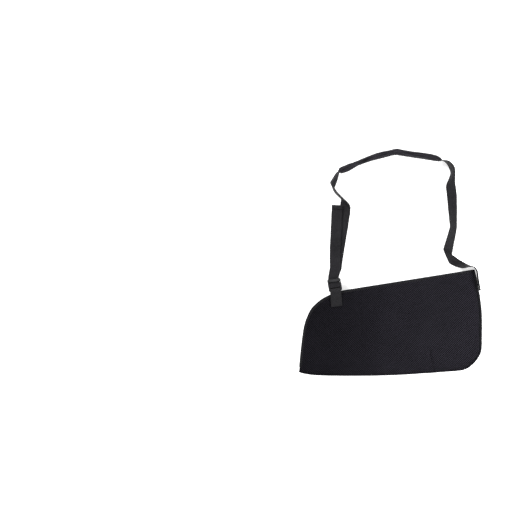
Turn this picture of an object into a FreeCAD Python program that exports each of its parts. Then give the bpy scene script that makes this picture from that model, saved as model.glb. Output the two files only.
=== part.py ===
import FreeCAD
import Part
import Sketcher
import math
import os

# Arm sling laid flat on a table.
# X runs along the forearm from the hand end to the elbow, Y towards the neck,
# Z up from the table.  All lengths are millimetres.
#
# The pouch is a fabric envelope: a back panel, a front panel sewn along the
# bottom and at the elbow, and a mouth along the top.  The front panel's
# upper half hinges about the line from the bottom of the hand end to the elbow
# corner, which is how the mouth opens.  A 25 mm strap leaves the elbow corner,
# goes round the neck inside a soft pad and comes back to a ladder lock that a
# webbing tab holds on the mouth's edge.

V = FreeCAD.Vector
App = FreeCAD
doc = FreeCAD.newDocument("arm_sling")

# ---------------------------------------------------------------- dimensions
sheet = doc.addObject("Spreadsheet::Sheet", "Dims")
row = [1]
value = {}


def cell(alias, number, note=""):
    r = row[0]
    sheet.set("A%d" % r, note if note else alias)
    sheet.set("B%d" % r, "%.4f" % number)
    sheet.setAlias("B%d" % r, alias)
    row[0] += 1
    value[alias] = round(float(number), 4)
    return alias


cell("panel_thick", 3.0, "spacer mesh panel")
cell("pocket_gap", 5.0, "room between the panels when empty")
cell("front_base", 8.0, "underside of the front panel")
cell("front_top", 11.0, "outside of the front panel")
cell("fold_width", 4.0, "bottom fold and elbow seam")
cell("tape_thick", 0.8, "binding tape")
cell("tape_leg", 9.0, "binding tape on each face")
cell("tape_wall", 1.0, "binding tape past the panel edge")
cell("tongue_thick", 1.4, "panel edge squeezed in the tape")
cell("flap_tilt", 6.0, "rest opening of the mouth")
cell("hinge_gap", 0.15, "half gap at the front panel's fold line")
cell("strap_width", 25.0, "webbing width")
cell("strap_thick", 1.5, "webbing thickness")
cell("tab_width", 25.5, "webbing tab width")
cell("tab_length", 40.0, "tab from the bar to its sewn end")
cell("bar_lift", 3.5, "tab bar above the front panel")
cell("bar_radius", 1.7, "ladder lock tab bar")
cell("lock_width", 31.2, "ladder lock outside width")
cell("lock_slot", 26.4, "ladder lock inside width")
cell("lock_thick", 5.0, "ladder lock side rail height")
cell("lock_low", -2.2, "rail end at the tab")
cell("lock_high", 27.0, "rail end at the lip")
cell("lock_corner", 1.8, "rail corner radius")
cell("lock_drop", 22.0, "ladder lock slope down to the table")
cell("pad_radius", 257.6, "neck arc of the strap in the pad")
cell("pad_from", 68.4, "pad arc start angle")
cell("pad_to", 123.0, "pad arc end angle")
cell("pad_height", 19.0, "middle of the pad above the table")
cell("pad_tape", 1.335, "end binding as an arc angle")
cell("seam_height", 5.0, "pad seam above the table")
cell("hem_length", 10.5, "folded end of the tail")
cell("hem_thick", 3.0, "two layers of webbing")
cell("origin_shift_x", 0.2, "drafting origin to row origin")
cell("origin_shift_y", -0.475, "drafting origin to row origin")
cell("pad_centre_x", 22.8)
cell("pad_centre_y", 1.4)

g = value

# Outline of the pouch in plan: hand end upwards, mouth edge to the elbow
# corner, elbow end down, bottom back to the start.
HAND = [(-215.7, -257.1), (-210.8, -205.6), (-205.9, -165.7), (-201.6, -143.3), (-195.3, -125.7),
        (-187.1, -109.3), (-176.2, -97.3), (-162.2, -85.8), (-145.7, -76.8), (-129.2, -69.8), (-112.8, -64.9)]
ELBOW_TOP = (197.9, -15.5)
RIGHT = [(203.7, -38.8), (208.2, -64.6), (213.1, -97.5), (215.3, -130.4), (215.3, -177.4), (214.1, -205.6),
         (208.7, -219.7), (200.9, -231.5), (190.8, -241.3), (178.1, -249.8)]
BOTTOM = [(159.8, -254.0), (117.5, -257.3), (103.4, -258.5), (70.5, -260.6), (18.8, -263.7), (-42.3, -265.6),
          (-117.5, -265.8), (-169.2, -264.6), (-197.4, -261.6)]
OUTLINE = HAND + [ELBOW_TOP] + RIGHT + BOTTOM
N_HAND = len(HAND)
I_ELBOW = N_HAND
I_SEAM_END = N_HAND + 1 + len(RIGHT) + 2
N_ALL = len(OUTLINE)

for k, (px, py) in enumerate(OUTLINE):
    cell("outline_%02d_x" % k, px)
    cell("outline_%02d_y" % k, py)

B0 = V(-215.0, -256.2, g["front_top"])
E0 = V(198.6, -15.3, g["front_top"])
DIAG = (E0 - B0).normalize()
DIAG_N = V(-DIAG.y, DIAG.x, 0)


# ------------------------------------------------------------- plan geometry
def inset(points, dist):
    # closed polygon, clockwise, each edge moved inwards by its own distance
    n = len(points)
    lines = []
    for i in range(n):
        ax, ay = points[i]
        bx, by = points[(i + 1) % n]
        ex, ey = bx - ax, by - ay
        length = math.hypot(ex, ey)
        nx, ny = ey / length, -ex / length
        lines.append((ax + nx * dist[i], ay + ny * dist[i], ex / length, ey / length))
    out = []
    for i in range(n):
        x1, y1, dx1, dy1 = lines[i - 1]
        x2, y2, dx2, dy2 = lines[i]
        det = dx1 * dy2 - dy1 * dx2
        if abs(det) < 1e-9:
            out.append((x2, y2))
            continue
        t = ((x2 - x1) * dy2 - (y2 - y1) * dx2) / det
        out.append((x1 + dx1 * t, y1 + dy1 * t))
    return out


def clip(points, origin, normal):
    # keeps the side of the line that the normal points to
    out = []
    n = len(points)
    for i in range(n):
        a, b = points[i], points[(i + 1) % n]
        da = (a[0] - origin[0]) * normal[0] + (a[1] - origin[1]) * normal[1]
        db = (b[0] - origin[0]) * normal[0] + (b[1] - origin[1]) * normal[1]
        if da >= 0:
            out.append(a)
        if (da >= 0) != (db >= 0):
            t = da / (da - db)
            out.append((a[0] + (b[0] - a[0]) * t, a[1] + (b[1] - a[1]) * t))
    clean = []
    for p in out:
        if not clean or math.hypot(p[0] - clean[-1][0], p[1] - clean[-1][1]) > 0.05:
            clean.append(p)
    if math.hypot(clean[0][0] - clean[-1][0], clean[0][1] - clean[-1][1]) < 0.05:
        clean.pop()
    return clean


n_edge = N_HAND  # edges of the hand end and the mouth come first
def plan(open_dist, sewn_dist):
    return inset(OUTLINE, [open_dist] * n_edge + [sewn_dist] * (N_ALL - n_edge))


RIM = plan(0.0, g["fold_width"])
PANEL = plan(g["tape_wall"], g["fold_width"])
LEG = plan(g["tape_wall"] + g["tape_leg"], g["fold_width"])
LEG_OVER = plan(g["tape_wall"] + g["tape_leg"] + 1.0, g["fold_width"])

hinge_up = (B0.x + DIAG_N.x * g["hinge_gap"], B0.y + DIAG_N.y * g["hinge_gap"])
hinge_dn = (B0.x - DIAG_N.x * g["hinge_gap"], B0.y - DIAG_N.y * g["hinge_gap"])
mouth_dir = (ELBOW_TOP[0] - HAND[-1][0], ELBOW_TOP[1] - HAND[-1][1])
mouth_len = math.hypot(*mouth_dir)
mouth_dir = (mouth_dir[0] / mouth_len, mouth_dir[1] / mouth_len)
elbow_stop = (ELBOW_TOP[0] - mouth_dir[0] * 6.2, ELBOW_TOP[1] - mouth_dir[1] * 6.2)
bottom_dir = (HAND[0][0] - BOTTOM[-1][0], HAND[0][1] - BOTTOM[-1][1])
bottom_len = math.hypot(*bottom_dir)
bottom_nrm = (bottom_dir[1] / bottom_len, -bottom_dir[0] / bottom_len)
hand_stop = (HAND[0][0] + bottom_nrm[0] * 4.6, HAND[0][1] + bottom_nrm[1] * 4.6)


def flap_part(points):
    pts = clip(points, hinge_up, (DIAG_N.x, DIAG_N.y))
    pts = clip(pts, elbow_stop, (-mouth_dir[0], -mouth_dir[1]))
    return clip(pts, hand_stop, bottom_nrm)


def band(outer, inner, first, last):
    return outer[first:last + 1] + inner[first:last + 1][::-1]


# ------------------------------------------------------------ FreeCAD helpers
def plane(body, role):
    for feature in body.Origin.OriginFeatures:
        if feature.Role == role:
            return feature
    raise RuntimeError(role)


serial = [0]


def bind_points(sketch, first, points, tag):
    for i, (x, y) in enumerate(points):
        for axis, number in (("x", x), ("y", y)):
            alias = cell("%s_%02d_%s" % (tag, i, axis), number)
            kind = "DistanceX" if axis == "x" else "DistanceY"
            index = sketch.addConstraint(Sketcher.Constraint(kind, -1, 1, first + i, 1, value[alias]))
            sketch.setExpression("Constraints[%d]" % index, "Dims.%s" % alias)


def sketch_loops(body, loops, tag, role="XY_Plane", lift=None):
    serial[0] += 1
    sk = body.newObject("Sketcher::SketchObject", "%s_sketch%d" % (tag, serial[0]))
    sk.AttachmentSupport = [(plane(body, role), "")]
    sk.MapMode = "FlatFace"
    if lift:
        sk.setExpression("AttachmentOffset.Base.z", "Dims.%s" % lift)
    first = 0
    for k, points in enumerate(loops):
        n = len(points)
        for i in range(n):
            a, b = points[i], points[(i + 1) % n]
            sk.addGeometry(Part.LineSegment(V(a[0], a[1], 0), V(b[0], b[1], 0)), False)
        for i in range(n):
            sk.addConstraint(Sketcher.Constraint("Coincident", first + i, 2, first + (i + 1) % n, 1))
        bind_points(sk, first, points, "%s_%s%d" % (tag, "abcdef"[k], serial[0]))
        first += n
    return sk


def pad(body, sketch, length, symmetric=False):
    p = body.newObject("PartDesign::Pad", sketch.Name + "_pad")
    p.Profile = sketch
    if symmetric:
        p.SideType = "Symmetric"
    p.setExpression("Length", "Dims.%s" % length)
    body.Tip = p
    return p


def pocket_up(body, sketch, length):
    p = body.newObject("PartDesign::Pocket", sketch.Name + "_pocket")
    p.Profile = sketch
    p.Reversed = True
    p.setExpression("Length", "Dims.%s" % length)
    body.Tip = p
    return p


parts = []


def keep(obj, label, placement):
    obj.Label = label
    obj.Placement = placement
    parts.append((label, obj))
    return obj


def new_body(label):
    return doc.addObject("PartDesign::Body", "body_" + label)


SHIFT = App.Placement(V(g["origin_shift_x"], g["origin_shift_y"], 0), App.Rotation())
TILT = App.Placement(V(0, 0, 0), App.Rotation(DIAG, g["flap_tilt"]), B0)
FLAP = SHIFT.multiply(TILT)

cell("tape_top_back", g["panel_thick"] - g["tape_thick"])
cell("tape_top_front", g["front_top"] - g["tape_thick"])
cell("tongue_front", g["front_base"] + g["tape_thick"])

# ------------------------------------------------------------------- pouch
# Back panel with both faces stepped down along the bound edges.
b = new_body("back_panel")
pad(b, sketch_loops(b, [PANEL], "back"), "panel_thick")
rim_band = band(RIM, LEG, 0, I_ELBOW)
pocket_up(b, sketch_loops(b, [rim_band], "back_low"), "tape_thick")
pocket_up(b, sketch_loops(b, [rim_band], "back_up", lift="tape_top_back"), "tape_thick")
keep(b, "back_panel", SHIFT)

b = new_body("front_panel_lower")
pad(b, sketch_loops(b, [clip(PANEL, hinge_dn, (-DIAG_N.x, -DIAG_N.y))], "front", lift="front_base"), "panel_thick")
keep(b, "front_panel_lower", SHIFT)

# Bottom fold and elbow seam close the pouch between the two panels.
b = new_body("bottom_fold")
fold = OUTLINE[I_SEAM_END:] + [OUTLINE[0]] + [RIM[0]] + RIM[I_SEAM_END:][::-1]
pad(b, sketch_loops(b, [fold], "fold"), "front_top")
keep(b, "bottom_fold", SHIFT)

b = new_body("elbow_seam_binding")
elbow = OUTLINE[I_ELBOW:I_SEAM_END + 1] + RIM[I_ELBOW:I_SEAM_END + 1][::-1]
pad(b, sketch_loops(b, [elbow], "elbow"), "front_top")
keep(b, "elbow_seam_binding", SHIFT)


# Binding tape folded over an open edge: a U in section.
def binding(label, outer, tongue, base, tongue_base, placement):
    body = new_body(label)
    pad(body, sketch_loops(body, [outer], label + "_tape", lift=base), "panel_thick")
    pocket_up(body, sketch_loops(body, [tongue], label + "_slot", lift=tongue_base), "tongue_thick")
    return keep(body, label, placement)


cell("floor_level", 0.0)
binding("mouth_binding_back", band(RIM, LEG, N_HAND - 1, I_ELBOW), band(PANEL, LEG_OVER, N_HAND - 1, I_ELBOW),
        "floor_level", "tape_thick", SHIFT)
binding("hand_end_binding_back", band(RIM, LEG, 0, N_HAND - 1), band(PANEL, LEG_OVER, 0, N_HAND - 1),
        "floor_level", "tape_thick", SHIFT)

# Dart that gives the elbow its depth.
b = new_body("elbow_dart")
dart = [(92.8, -205.3), (95.2, -205.9), (104.4, -252.2), (102.0, -252.7)]
pad(b, sketch_loops(b, [dart], "dart", lift="front_top"), "tape_thick")
keep(b, "elbow_dart", SHIFT)


# Root end of the strap: stands on edge, bends round the elbow corner and is
# sewn along the outside of the elbow seam.
def ribbon_plan(points, half):
    left, right = [], []
    n = len(points)
    for i, (x, y) in enumerate(points):
        ax, ay = points[max(i - 1, 0)]
        bx, by = points[min(i + 1, n - 1)]
        if 0 < i < n - 1:
            l1 = math.hypot(x - ax, y - ay)
            l2 = math.hypot(bx - x, by - y)
            tx = (x - ax) / l1 + (bx - x) / l2
            ty = (y - ay) / l1 + (by - y) / l2
        else:
            tx, ty = bx - ax, by - ay
        length = math.hypot(tx, ty)
        tx, ty = tx / length, ty / length
        grow = 1.0
        if 0 < i < n - 1:
            grow = 1.0 / max(0.5, (tx * (x - ax) + ty * (y - ay)) / l1)
        left.append((x - ty * half * grow, y + tx * half * grow))
        right.append((x + ty * half * grow, y - tx * half * grow))
    return left + right[::-1]


SEWN = [(191.1, -8.3), (196.4, -9.8), (199.9, -13.6), (205.4, -38.8), (209.9, -64.6)]
b = new_body("strap_sewn_end")
pad(b, sketch_loops(b, [ribbon_plan(SEWN, g["strap_thick"] / 2)], "sewn"), "strap_width")
keep(b, "strap_sewn_end", SHIFT)

# Bar tacks through that end: three upright bars of thread.
cell("tack_length", 0.5)
cell("tack_width", 1.6)
cell("tack_height", 18.0)
tacks = []
ang = math.degrees(math.atan2(-64.6 + 38.8, 209.9 - 205.4))
for i, along in enumerate((0.12, 0.5, 0.88)):
    cx = 205.4 + (209.9 - 205.4) * along
    cy = -38.8 + (-64.6 + 38.8) * along
    box = doc.addObject("Part::Box", "tack_%d" % i)
    box.setExpression("Length", "Dims.tack_width")
    box.setExpression("Width", "Dims.tack_length")
    box.setExpression("Height", "Dims.tack_height")
    rot = App.Rotation(V(0, 0, 1), ang)
    offset = rot.multVec(V(-g["tack_width"] / 2, g["strap_thick"] / 2, 0))
    box.Placement = App.Placement(V(cx, cy, 3.5) + offset, rot)
    tacks.append(box)
group = doc.addObject("Part::Compound", "tacks")
group.Links = tacks
keep(group, "elbow_anchor_stitching", SHIFT)

# -------------------------------------------------------------- mouth flap
b = new_body("front_panel_upper")
pad(b, sketch_loops(b, [flap_part(PANEL)], "flap", lift="front_base"), "panel_thick")
pocket_up(b, sketch_loops(b, [rim_band], "flap_low", lift="front_base"), "tape_thick")
pocket_up(b, sketch_loops(b, [rim_band], "flap_up", lift="tape_top_front"), "tape_thick")
keep(b, "front_panel_upper", FLAP)

binding("mouth_binding_front", flap_part(band(RIM, LEG, N_HAND - 1, I_ELBOW)),
        flap_part(band(PANEL, LEG_OVER, N_HAND - 1, I_ELBOW)), "front_base", "tongue_front", FLAP)
binding("hand_end_binding_front", flap_part(band(RIM, LEG, 0, N_HAND - 1)),
        flap_part(band(PANEL, LEG_OVER, 0, N_HAND - 1)), "front_base", "tongue_front", FLAP)

# Tab bar centre on the tilted flap and the line from it to the elbow corner.
BAR_PLAN = V(-130.5, -62.15, g["front_top"] + g["bar_lift"])
BAR = TILT.multVec(BAR_PLAN)
UU = (E0 - BAR).normalize()
FLAP_N = TILT.Rotation.multVec(V(0, 0, 1))
WW = (FLAP_N - UU * FLAP_N.dot(UU)).normalize()
VV = WW.cross(UU)


def frame_at(origin, u, v, w):
    m = App.Matrix(u.x, v.x, w.x, origin.x, u.y, v.y, w.y, origin.y, u.z, v.z, w.z, origin.z, 0, 0, 0, 1)
    return App.Placement(m)


TAB = SHIFT.multiply(frame_at(BAR, UU, VV, WW))


def arc_points(cx, cy, radius, start, stop, steps):
    pts = []
    for i in range(steps + 1):
        a = math.radians(start + (stop - start) * i / steps)
        pts.append((cx + radius * math.cos(a), cy + radius * math.sin(a)))
    return pts


# Tab: webbing doubled round the bar, both layers sewn to the front panel.
loop_in = (g["bar_lift"] - g["strap_thick"]) / math.cos(math.radians(9))
outer = [(-g["tab_length"], -3.3)] + arc_points(0, 0, 3.3, -90, 90, 10)
outer += [(-4.0, 3.0), (-12.0, -0.5), (-g["tab_length"], -0.5)]
inner = [(-10.4, -2.0)] + arc_points(0, 0, loop_in, -81, 99, 10) + [(-3.2, 1.3)]
b = new_body("tab_webbing")
pad(b, sketch_loops(b, [outer, inner], "tab", role="YZ_Plane"), "tab_width", symmetric=True)
keep(b, "tab_webbing", TAB)

# Box stitch with a cross on the tab.
cell("thread", 0.7)
cell("thread_thick", 0.35)
cell("box_side", 19.0)
cell("box_diag", 25.5)
threads = []
side = g["box_side"]
for i, (cu, cv, turn) in enumerate(((0, -18.5, 0), (0, -18.5 - side, 0), (-side / 2, -18.5 - side / 2, 90),
                                    (side / 2, -18.5 - side / 2, 90), (0, -18.5 - side / 2, 45),
                                    (0, -18.5 - side / 2, -45))):
    box = doc.addObject("Part::Box", "thread_%d" % i)
    run = side + 0.7 if i < 4 else g["box_diag"]
    box.setExpression("Length", "Dims.box_side + Dims.thread" if i < 4 else "Dims.box_diag")
    box.setExpression("Width", "Dims.thread")
    box.setExpression("Height", "Dims.thread_thick")
    rot = App.Rotation(V(0, 0, 1), turn)
    box.Placement = App.Placement(V(cu, cv, -0.5) + rot.multVec(V(-run / 2, -0.35, 0)), rot)
    threads.append(box)
fuse = doc.addObject("Part::MultiFuse", "tab_threads")
fuse.Shapes = threads
keep(fuse, "tab_stitching", TAB)

# ------------------------------------------------------------- ladder lock
# Local axes: X along the bars, Y towards the strap, Z out of the front.
SLOPE = math.degrees(math.asin(max(-1.0, min(1.0, VV.z))))
DROP = App.Rotation(V(1, 0, 0), -(g["lock_drop"] + SLOPE))
LOCK = TAB.multiply(App.Placement(V(0, 0, 0), DROP))
LOCK_DRAFT = frame_at(BAR, UU, VV, WW).multiply(App.Placement(V(0, 0, 0), DROP))

b = new_body("ladder_lock")
half = g["lock_width"] / 2
slot = g["lock_slot"] / 2
lo, hi = g["lock_low"], g["lock_high"]
cut = g["lock_corner"]
sk = sketch_loops(b, [[(-half, lo + cut), (-half + cut * 0.3, lo + cut * 0.3), (-half + cut, lo), (half - cut, lo),
                       (half - cut * 0.3, lo + cut * 0.3), (half, lo + cut), (half, hi - cut),
                       (half - cut * 0.3, hi - cut * 0.3), (half - cut, hi), (-half + cut, hi),
                       (-half + cut * 0.3, hi - cut * 0.3), (-half, hi - cut)]], "lock")
pad(b, sk, "lock_thick", symmetric=True)
cell("lock_window", g["lock_thick"] + 2)
sk = sketch_loops(b, [[(-slot, lo - 1), (slot, lo - 1), (slot, hi + 1), (-slot, hi + 1)]], "window")
p = b.newObject("PartDesign::Pocket", "lock_window_pocket")
p.Profile = sk
p.SideType = "Symmetric"
p.setExpression("Length", "Dims.lock_window")
b.Tip = p
doc.recompute()
cell("bar_span", g["lock_slot"] + 1.0)
bar = b.newObject("Sketcher::SketchObject", "tab_bar_sketch")
bar.AttachmentSupport = [(plane(b, "YZ_Plane"), "")]
bar.MapMode = "FlatFace"
bar.addGeometry(Part.Circle(V(0, 0, 0), V(0, 0, 1), g["bar_radius"]), False)
bar.addConstraint(Sketcher.Constraint("Coincident", 0, 3, -1, 1))
index = bar.addConstraint(Sketcher.Constraint("Radius", 0, g["bar_radius"]))
bar.setExpression("Constraints[%d]" % index, "Dims.bar_radius")
pad(b, bar, "bar_span", symmetric=True)
middle = [(9.0, -1.0), (9.5, -1.35), (13.0, -1.35), (13.5, -1.0), (13.5, 0.9), (12.9, 1.35), (9.6, 1.35), (9.0, 0.9)]
pad(b, sketch_loops(b, [middle], "middle", role="YZ_Plane"), "bar_span", symmetric=True)
lip = [(20.0, 0.0), (20.6, -0.4), (26.4, -0.4), (27.0, 0.2), (27.0, 1.2), (26.3, 1.9), (25.0, 2.1), (21.2, 2.1),
       (20.3, 1.6), (20.0, 1.0)]
pad(b, sketch_loops(b, [lip], "lip", role="YZ_Plane"), "bar_span", symmetric=True)
doc.recompute()
keep(b, "ladder_lock", LOCK)


# Strap as it is threaded: under the lock, up through the first slot, over the
# middle bar, down the second slot and out below the lip.
def thick_profile(points, half_t):
    left, right = [], []
    n = len(points)
    for i, (x, y) in enumerate(points):
        ax, ay = points[max(i - 1, 0)]
        bx, by = points[min(i + 1, n - 1)]
        if 0 < i < n - 1:
            l1, l2 = math.hypot(x - ax, y - ay), math.hypot(bx - x, by - y)
            t1 = ((x - ax) / l1, (y - ay) / l1)
            t2 = ((bx - x) / l2, (by - y) / l2)
            tx, ty = t1[0] + t2[0], t1[1] + t2[1]
            length = math.hypot(tx, ty)
            tx, ty = tx / length, ty / length
            grow = 1.0 / (tx * t1[0] + ty * t1[1])
        else:
            tx, ty = bx - ax, by - ay
            length = math.hypot(tx, ty)
            tx, ty = tx / length, ty / length
            grow = 1.0
        left.append((x - ty * half_t * grow, y + tx * half_t * grow))
        right.append((x + ty * half_t * grow, y - tx * half_t * grow))
    return left + right[::-1]


half_t = g["strap_thick"] / 2
wrap = [(30.0, -3.45), (8.6, -3.45)] + arc_points(8.6, -0.3, 3.15, -108, -252, 6)
wrap += [(9.4, 2.85), (12.6, 2.85), (14.6, 2.2), (18.6, -1.15), (20.4, -1.6), (30.0, -1.6)]
b = new_body("strap_wrap")
pad(b, sketch_loops(b, [thick_profile(wrap, half_t)], "wrap", role="YZ_Plane"), "strap_width", symmetric=True)
keep(b, "strap_wrap", LOCK)


# ------------------------------------------------------------------- strap
# A ribbon solid from stations: centre, heading and width direction.  Each
# span is bounded by flat triangles, so twisted spans stay exact.
def ribbon(sections, half_w, half_thick):
    rings = []
    for c, t, w in sections:
        nrm = t.cross(w).normalize()
        rings.append([c - w * half_w - nrm * half_thick, c + w * half_w - nrm * half_thick,
                      c + w * half_w + nrm * half_thick, c - w * half_w + nrm * half_thick])
    faces = []

    def face(*pts):
        faces.append(Part.Face(Part.makePolygon(list(pts) + [pts[0]])))

    for a, c in zip(rings[:-1], rings[1:]):
        for i in range(4):
            j = (i + 1) % 4
            face(a[i], a[j], c[j])
            face(a[i], c[j], c[i])
    face(*rings[0][:3])
    face(rings[0][0], rings[0][2], rings[0][3])
    face(*rings[-1][:3])
    face(rings[-1][0], rings[-1][2], rings[-1][3])
    solid = Part.Solid(Part.Shell(faces))
    if solid.Volume < 0:
        solid.reverse()
    return solid


def smooth(stations, step):
    # stations: x, y, z, lean angle of the width from flat; curve through all
    pts = [V(s[0], s[1], s[2]) for s in stations]
    lean = [s[3] for s in stations]
    knots = [0.0]
    for a, c in zip(pts[:-1], pts[1:]):
        knots.append(knots[-1] + a.distanceToPoint(c))

    def slope(values, i):
        if i == 0:
            return (values[1] - values[0]) * (1.0 / (knots[1] - knots[0]))
        if i == len(values) - 1:
            return (values[-1] - values[-2]) * (1.0 / (knots[-1] - knots[-2]))
        h0, h1 = knots[i] - knots[i - 1], knots[i + 1] - knots[i]
        d0 = (values[i] - values[i - 1]) * (1.0 / h0)
        d1 = (values[i + 1] - values[i]) * (1.0 / h1)
        return d0 * (h1 / (h0 + h1)) + d1 * (h0 / (h0 + h1))

    out = []
    for i in range(len(pts) - 1):
        h = knots[i + 1] - knots[i]
        count = max(1, int(round(h / step)))
        for k in range(count):
            s = k / float(count)
            a0 = 2 * s ** 3 - 3 * s ** 2 + 1
            a1 = s ** 3 - 2 * s ** 2 + s
            a2 = -2 * s ** 3 + 3 * s ** 2
            a3 = s ** 3 - s ** 2
            p = pts[i] * a0 + slope(pts, i) * (a1 * h) + pts[i + 1] * a2 + slope(pts, i + 1) * (a3 * h)
            q = lean[i] * a0 + slope(lean, i) * (a1 * h) + lean[i + 1] * a2 + slope(lean, i + 1) * (a3 * h)
            out.append((p, q))
    out.append((pts[-1], lean[-1]))
    return out


def sections_of(path, floor=True, start_w=None, start_t=None):
    out = []
    n = len(path)
    for i, (p, lean) in enumerate(path):
        t = (path[min(i + 1, n - 1)][0] - path[max(i - 1, 0)][0]).normalize()
        if i == 0 and start_t is not None:
            t = V(start_t)
        flat = V(t.y, -t.x, 0).normalize()
        up = V(0, 0, 1)
        a = math.radians(lean)
        w = flat * math.cos(a) + up * math.sin(a)
        w = (w - t * w.dot(t)).normalize()
        if i == 0 and start_w is not None:
            w = (start_w - t * start_w.dot(t)).normalize()
        nrm = t.cross(w)
        low = abs(w.z) * g["strap_width"] / 2 + abs(nrm.z) * g["strap_thick"] / 2
        q = V(p.x, p.y, p.z)
        if floor and i and q.z < low + 0.05:
            q.z = low + 0.05
        out.append((q, t, w))
    return out


# both runs leave the lock square to its bars, 1 mm past the threaded piece
LOCK_OUT = LOCK_DRAFT.Rotation.multVec(V(0, 1, 0))
start_load = LOCK_DRAFT.multVec(V(0, 31.0, -3.45))
start_tail = LOCK_DRAFT.multVec(V(0, 31.0, -1.6))
FROM_LOCK = [(-127.6, -12.9, 6.6, 0), (-123.5, 15.3, 2.4, 0), (-118.4, 45.8, 0.9, 0), (-112.3, 85.8, 0.82, 0),
             (-107.6, 117.0, 0.82, 0), (-106.7, 131.0, 0.9, 0), (-106.9, 136.3, 3.2, 9), (-108.4, 141.2, 9.5, 42),
             (-112.2, 147.8, 12.7, 75), (-117.2, 154.2, 13.1, 88), (-128.2, 165.7, 13.1, 88),
             (-134.0, 174.0, 12.9, 84), (-137.6, 186.4, 10.8, 52), (-132.6, 198.0, 12.4, 62)]
for k, s in enumerate(FROM_LOCK):
    cell("run_a_%02d_x" % k, s[0])
    cell("run_a_%02d_y" % k, s[1])
TO_ELBOW = [(144.5, 224.4, 13.2, 64), (147.1, 212.0, 12.2, 66), (145.2, 200.7, 11.4, 57), (144.1, 182.1, 8.2, 35),
            (146.2, 163.3, 7.4, 31), (146.4, 146.9, 8.3, 36), (146.9, 118.7, 8.8, 39), (148.1, 90.5, 10.2, 49),
            (145.2, 69.3, 9.1, 41), (140.5, 50.5, 9.1, 41), (136.8, 34.1, 8.7, 38), (137.7, 24.7, 9.9, 46),
            (144.5, 10.6, 11.3, 56), (157.5, -0.7, 9.9, 46), (171.6, -4.9, 12.2, 65), (183.0, -6.5, 13.2, 86),
            (188.2, -7.4, 13.2, 90)]
for k, s in enumerate(TO_ELBOW):
    cell("run_b_%02d_x" % k, s[0])
    cell("run_b_%02d_y" % k, s[1])

pcx, pcy, rad = g["pad_centre_x"], g["pad_centre_y"], g["pad_radius"]
arc = []
arc_hi, arc_lo = g["pad_to"] + 3.2, g["pad_from"] - 3.4
steps = 20
for i in range(steps + 1):
    a = math.radians(arc_hi + (arc_lo - arc_hi) * i / steps)
    arc.append((pcx + rad * math.cos(a), pcy + rad * math.sin(a), g["pad_height"], 90.0))

run_a = smooth([(start_load.x, start_load.y, start_load.z, 0)] + FROM_LOCK + [arc[0]], 11.0)
run_b = smooth([arc[-1]] + TO_ELBOW, 11.0)
path = run_a[:-1] + [(V(*p[:3]), p[3]) for p in arc] + run_b[1:]
sections = sections_of(path, start_w=UU, start_t=LOCK_OUT)
# inside the pad the heading is the arc's own tangent
for i, (c, t, w) in enumerate(sections):
    r = math.hypot(c.x - pcx, c.y - pcy)
    if len(run_a) - 1 <= i <= len(run_a) - 1 + steps:
        tan = V((c.y - pcy) / r, -(c.x - pcx) / r, 0)
        sections[i] = (c, tan, V(0, 0, 1))
length = sum(a[0].distanceToPoint(c[0]) for a, c in zip(sections[:-1], sections[1:]))
feat = doc.addObject("Part::Feature", "strap_feature")
feat.Shape = ribbon(sections, g["strap_width"] / 2, g["strap_thick"] / 2)
keep(feat, "shoulder_strap", SHIFT)
print("strap length", round(length, 1), "sections", len(sections))

# Running tail beside the load strap: lower part rises to the lock, upper part
# and hem lie straight.
TAIL_A = V(-129.9, 38.2, 4.5)
TAIL_B = V(-125.4, 136.2, 5.5)
TAIL_DIR = (TAIL_B - TAIL_A).normalize()
tail_pts = [(start_tail.x, start_tail.y, start_tail.z, 0), (-130.6, -12.9, 9.1, 0), (-130.4, 15.3, 5.6, 0),
            (TAIL_A.x - TAIL_DIR.x * 4, TAIL_A.y - TAIL_DIR.y * 4, TAIL_A.z - TAIL_DIR.z * 4, 0),
            (TAIL_A.x, TAIL_A.y, TAIL_A.z, 0)]
tail_sections = sections_of(smooth(tail_pts, 11.0), start_w=UU, start_t=LOCK_OUT)
last = tail_sections[-1]
w_tail = V(TAIL_DIR.y, -TAIL_DIR.x, 0).normalize()
tail_sections[-1] = (last[0], TAIL_DIR, w_tail)
feat = doc.addObject("Part::Feature", "tail_low_feature")
feat.Shape = ribbon(tail_sections, g["strap_width"] / 2, g["strap_thick"] / 2)
keep(feat, "tail_lower", SHIFT)

nrm_tail = w_tail.cross(TAIL_DIR)
tail_len = TAIL_A.distanceToPoint(TAIL_B)
cell("tail_upper_length", tail_len - g["hem_length"] - 0.2)
TAIL_FRAME = SHIFT.multiply(frame_at(TAIL_A, w_tail, TAIL_DIR, nrm_tail))
box = doc.addObject("Part::Box", "tail_up_box")
box.setExpression("Length", "Dims.strap_width")
box.setExpression("Width", "Dims.tail_upper_length")
box.setExpression("Height", "Dims.strap_thick")
corner = App.Placement(V(-g["strap_width"] / 2, 0.1, -g["strap_thick"] / 2), App.Rotation())
keep(box, "tail_upper", TAIL_FRAME.multiply(corner))

box = doc.addObject("Part::Box", "hem_box")
box.setExpression("Length", "Dims.strap_width")
box.setExpression("Width", "Dims.hem_length")
box.setExpression("Height", "Dims.hem_thick")
corner = App.Placement(V(-g["strap_width"] / 2, tail_len - g["hem_length"], -g["strap_thick"] / 2), App.Rotation())
keep(box, "tail_end_hem", TAIL_FRAME.multiply(corner))

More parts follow.
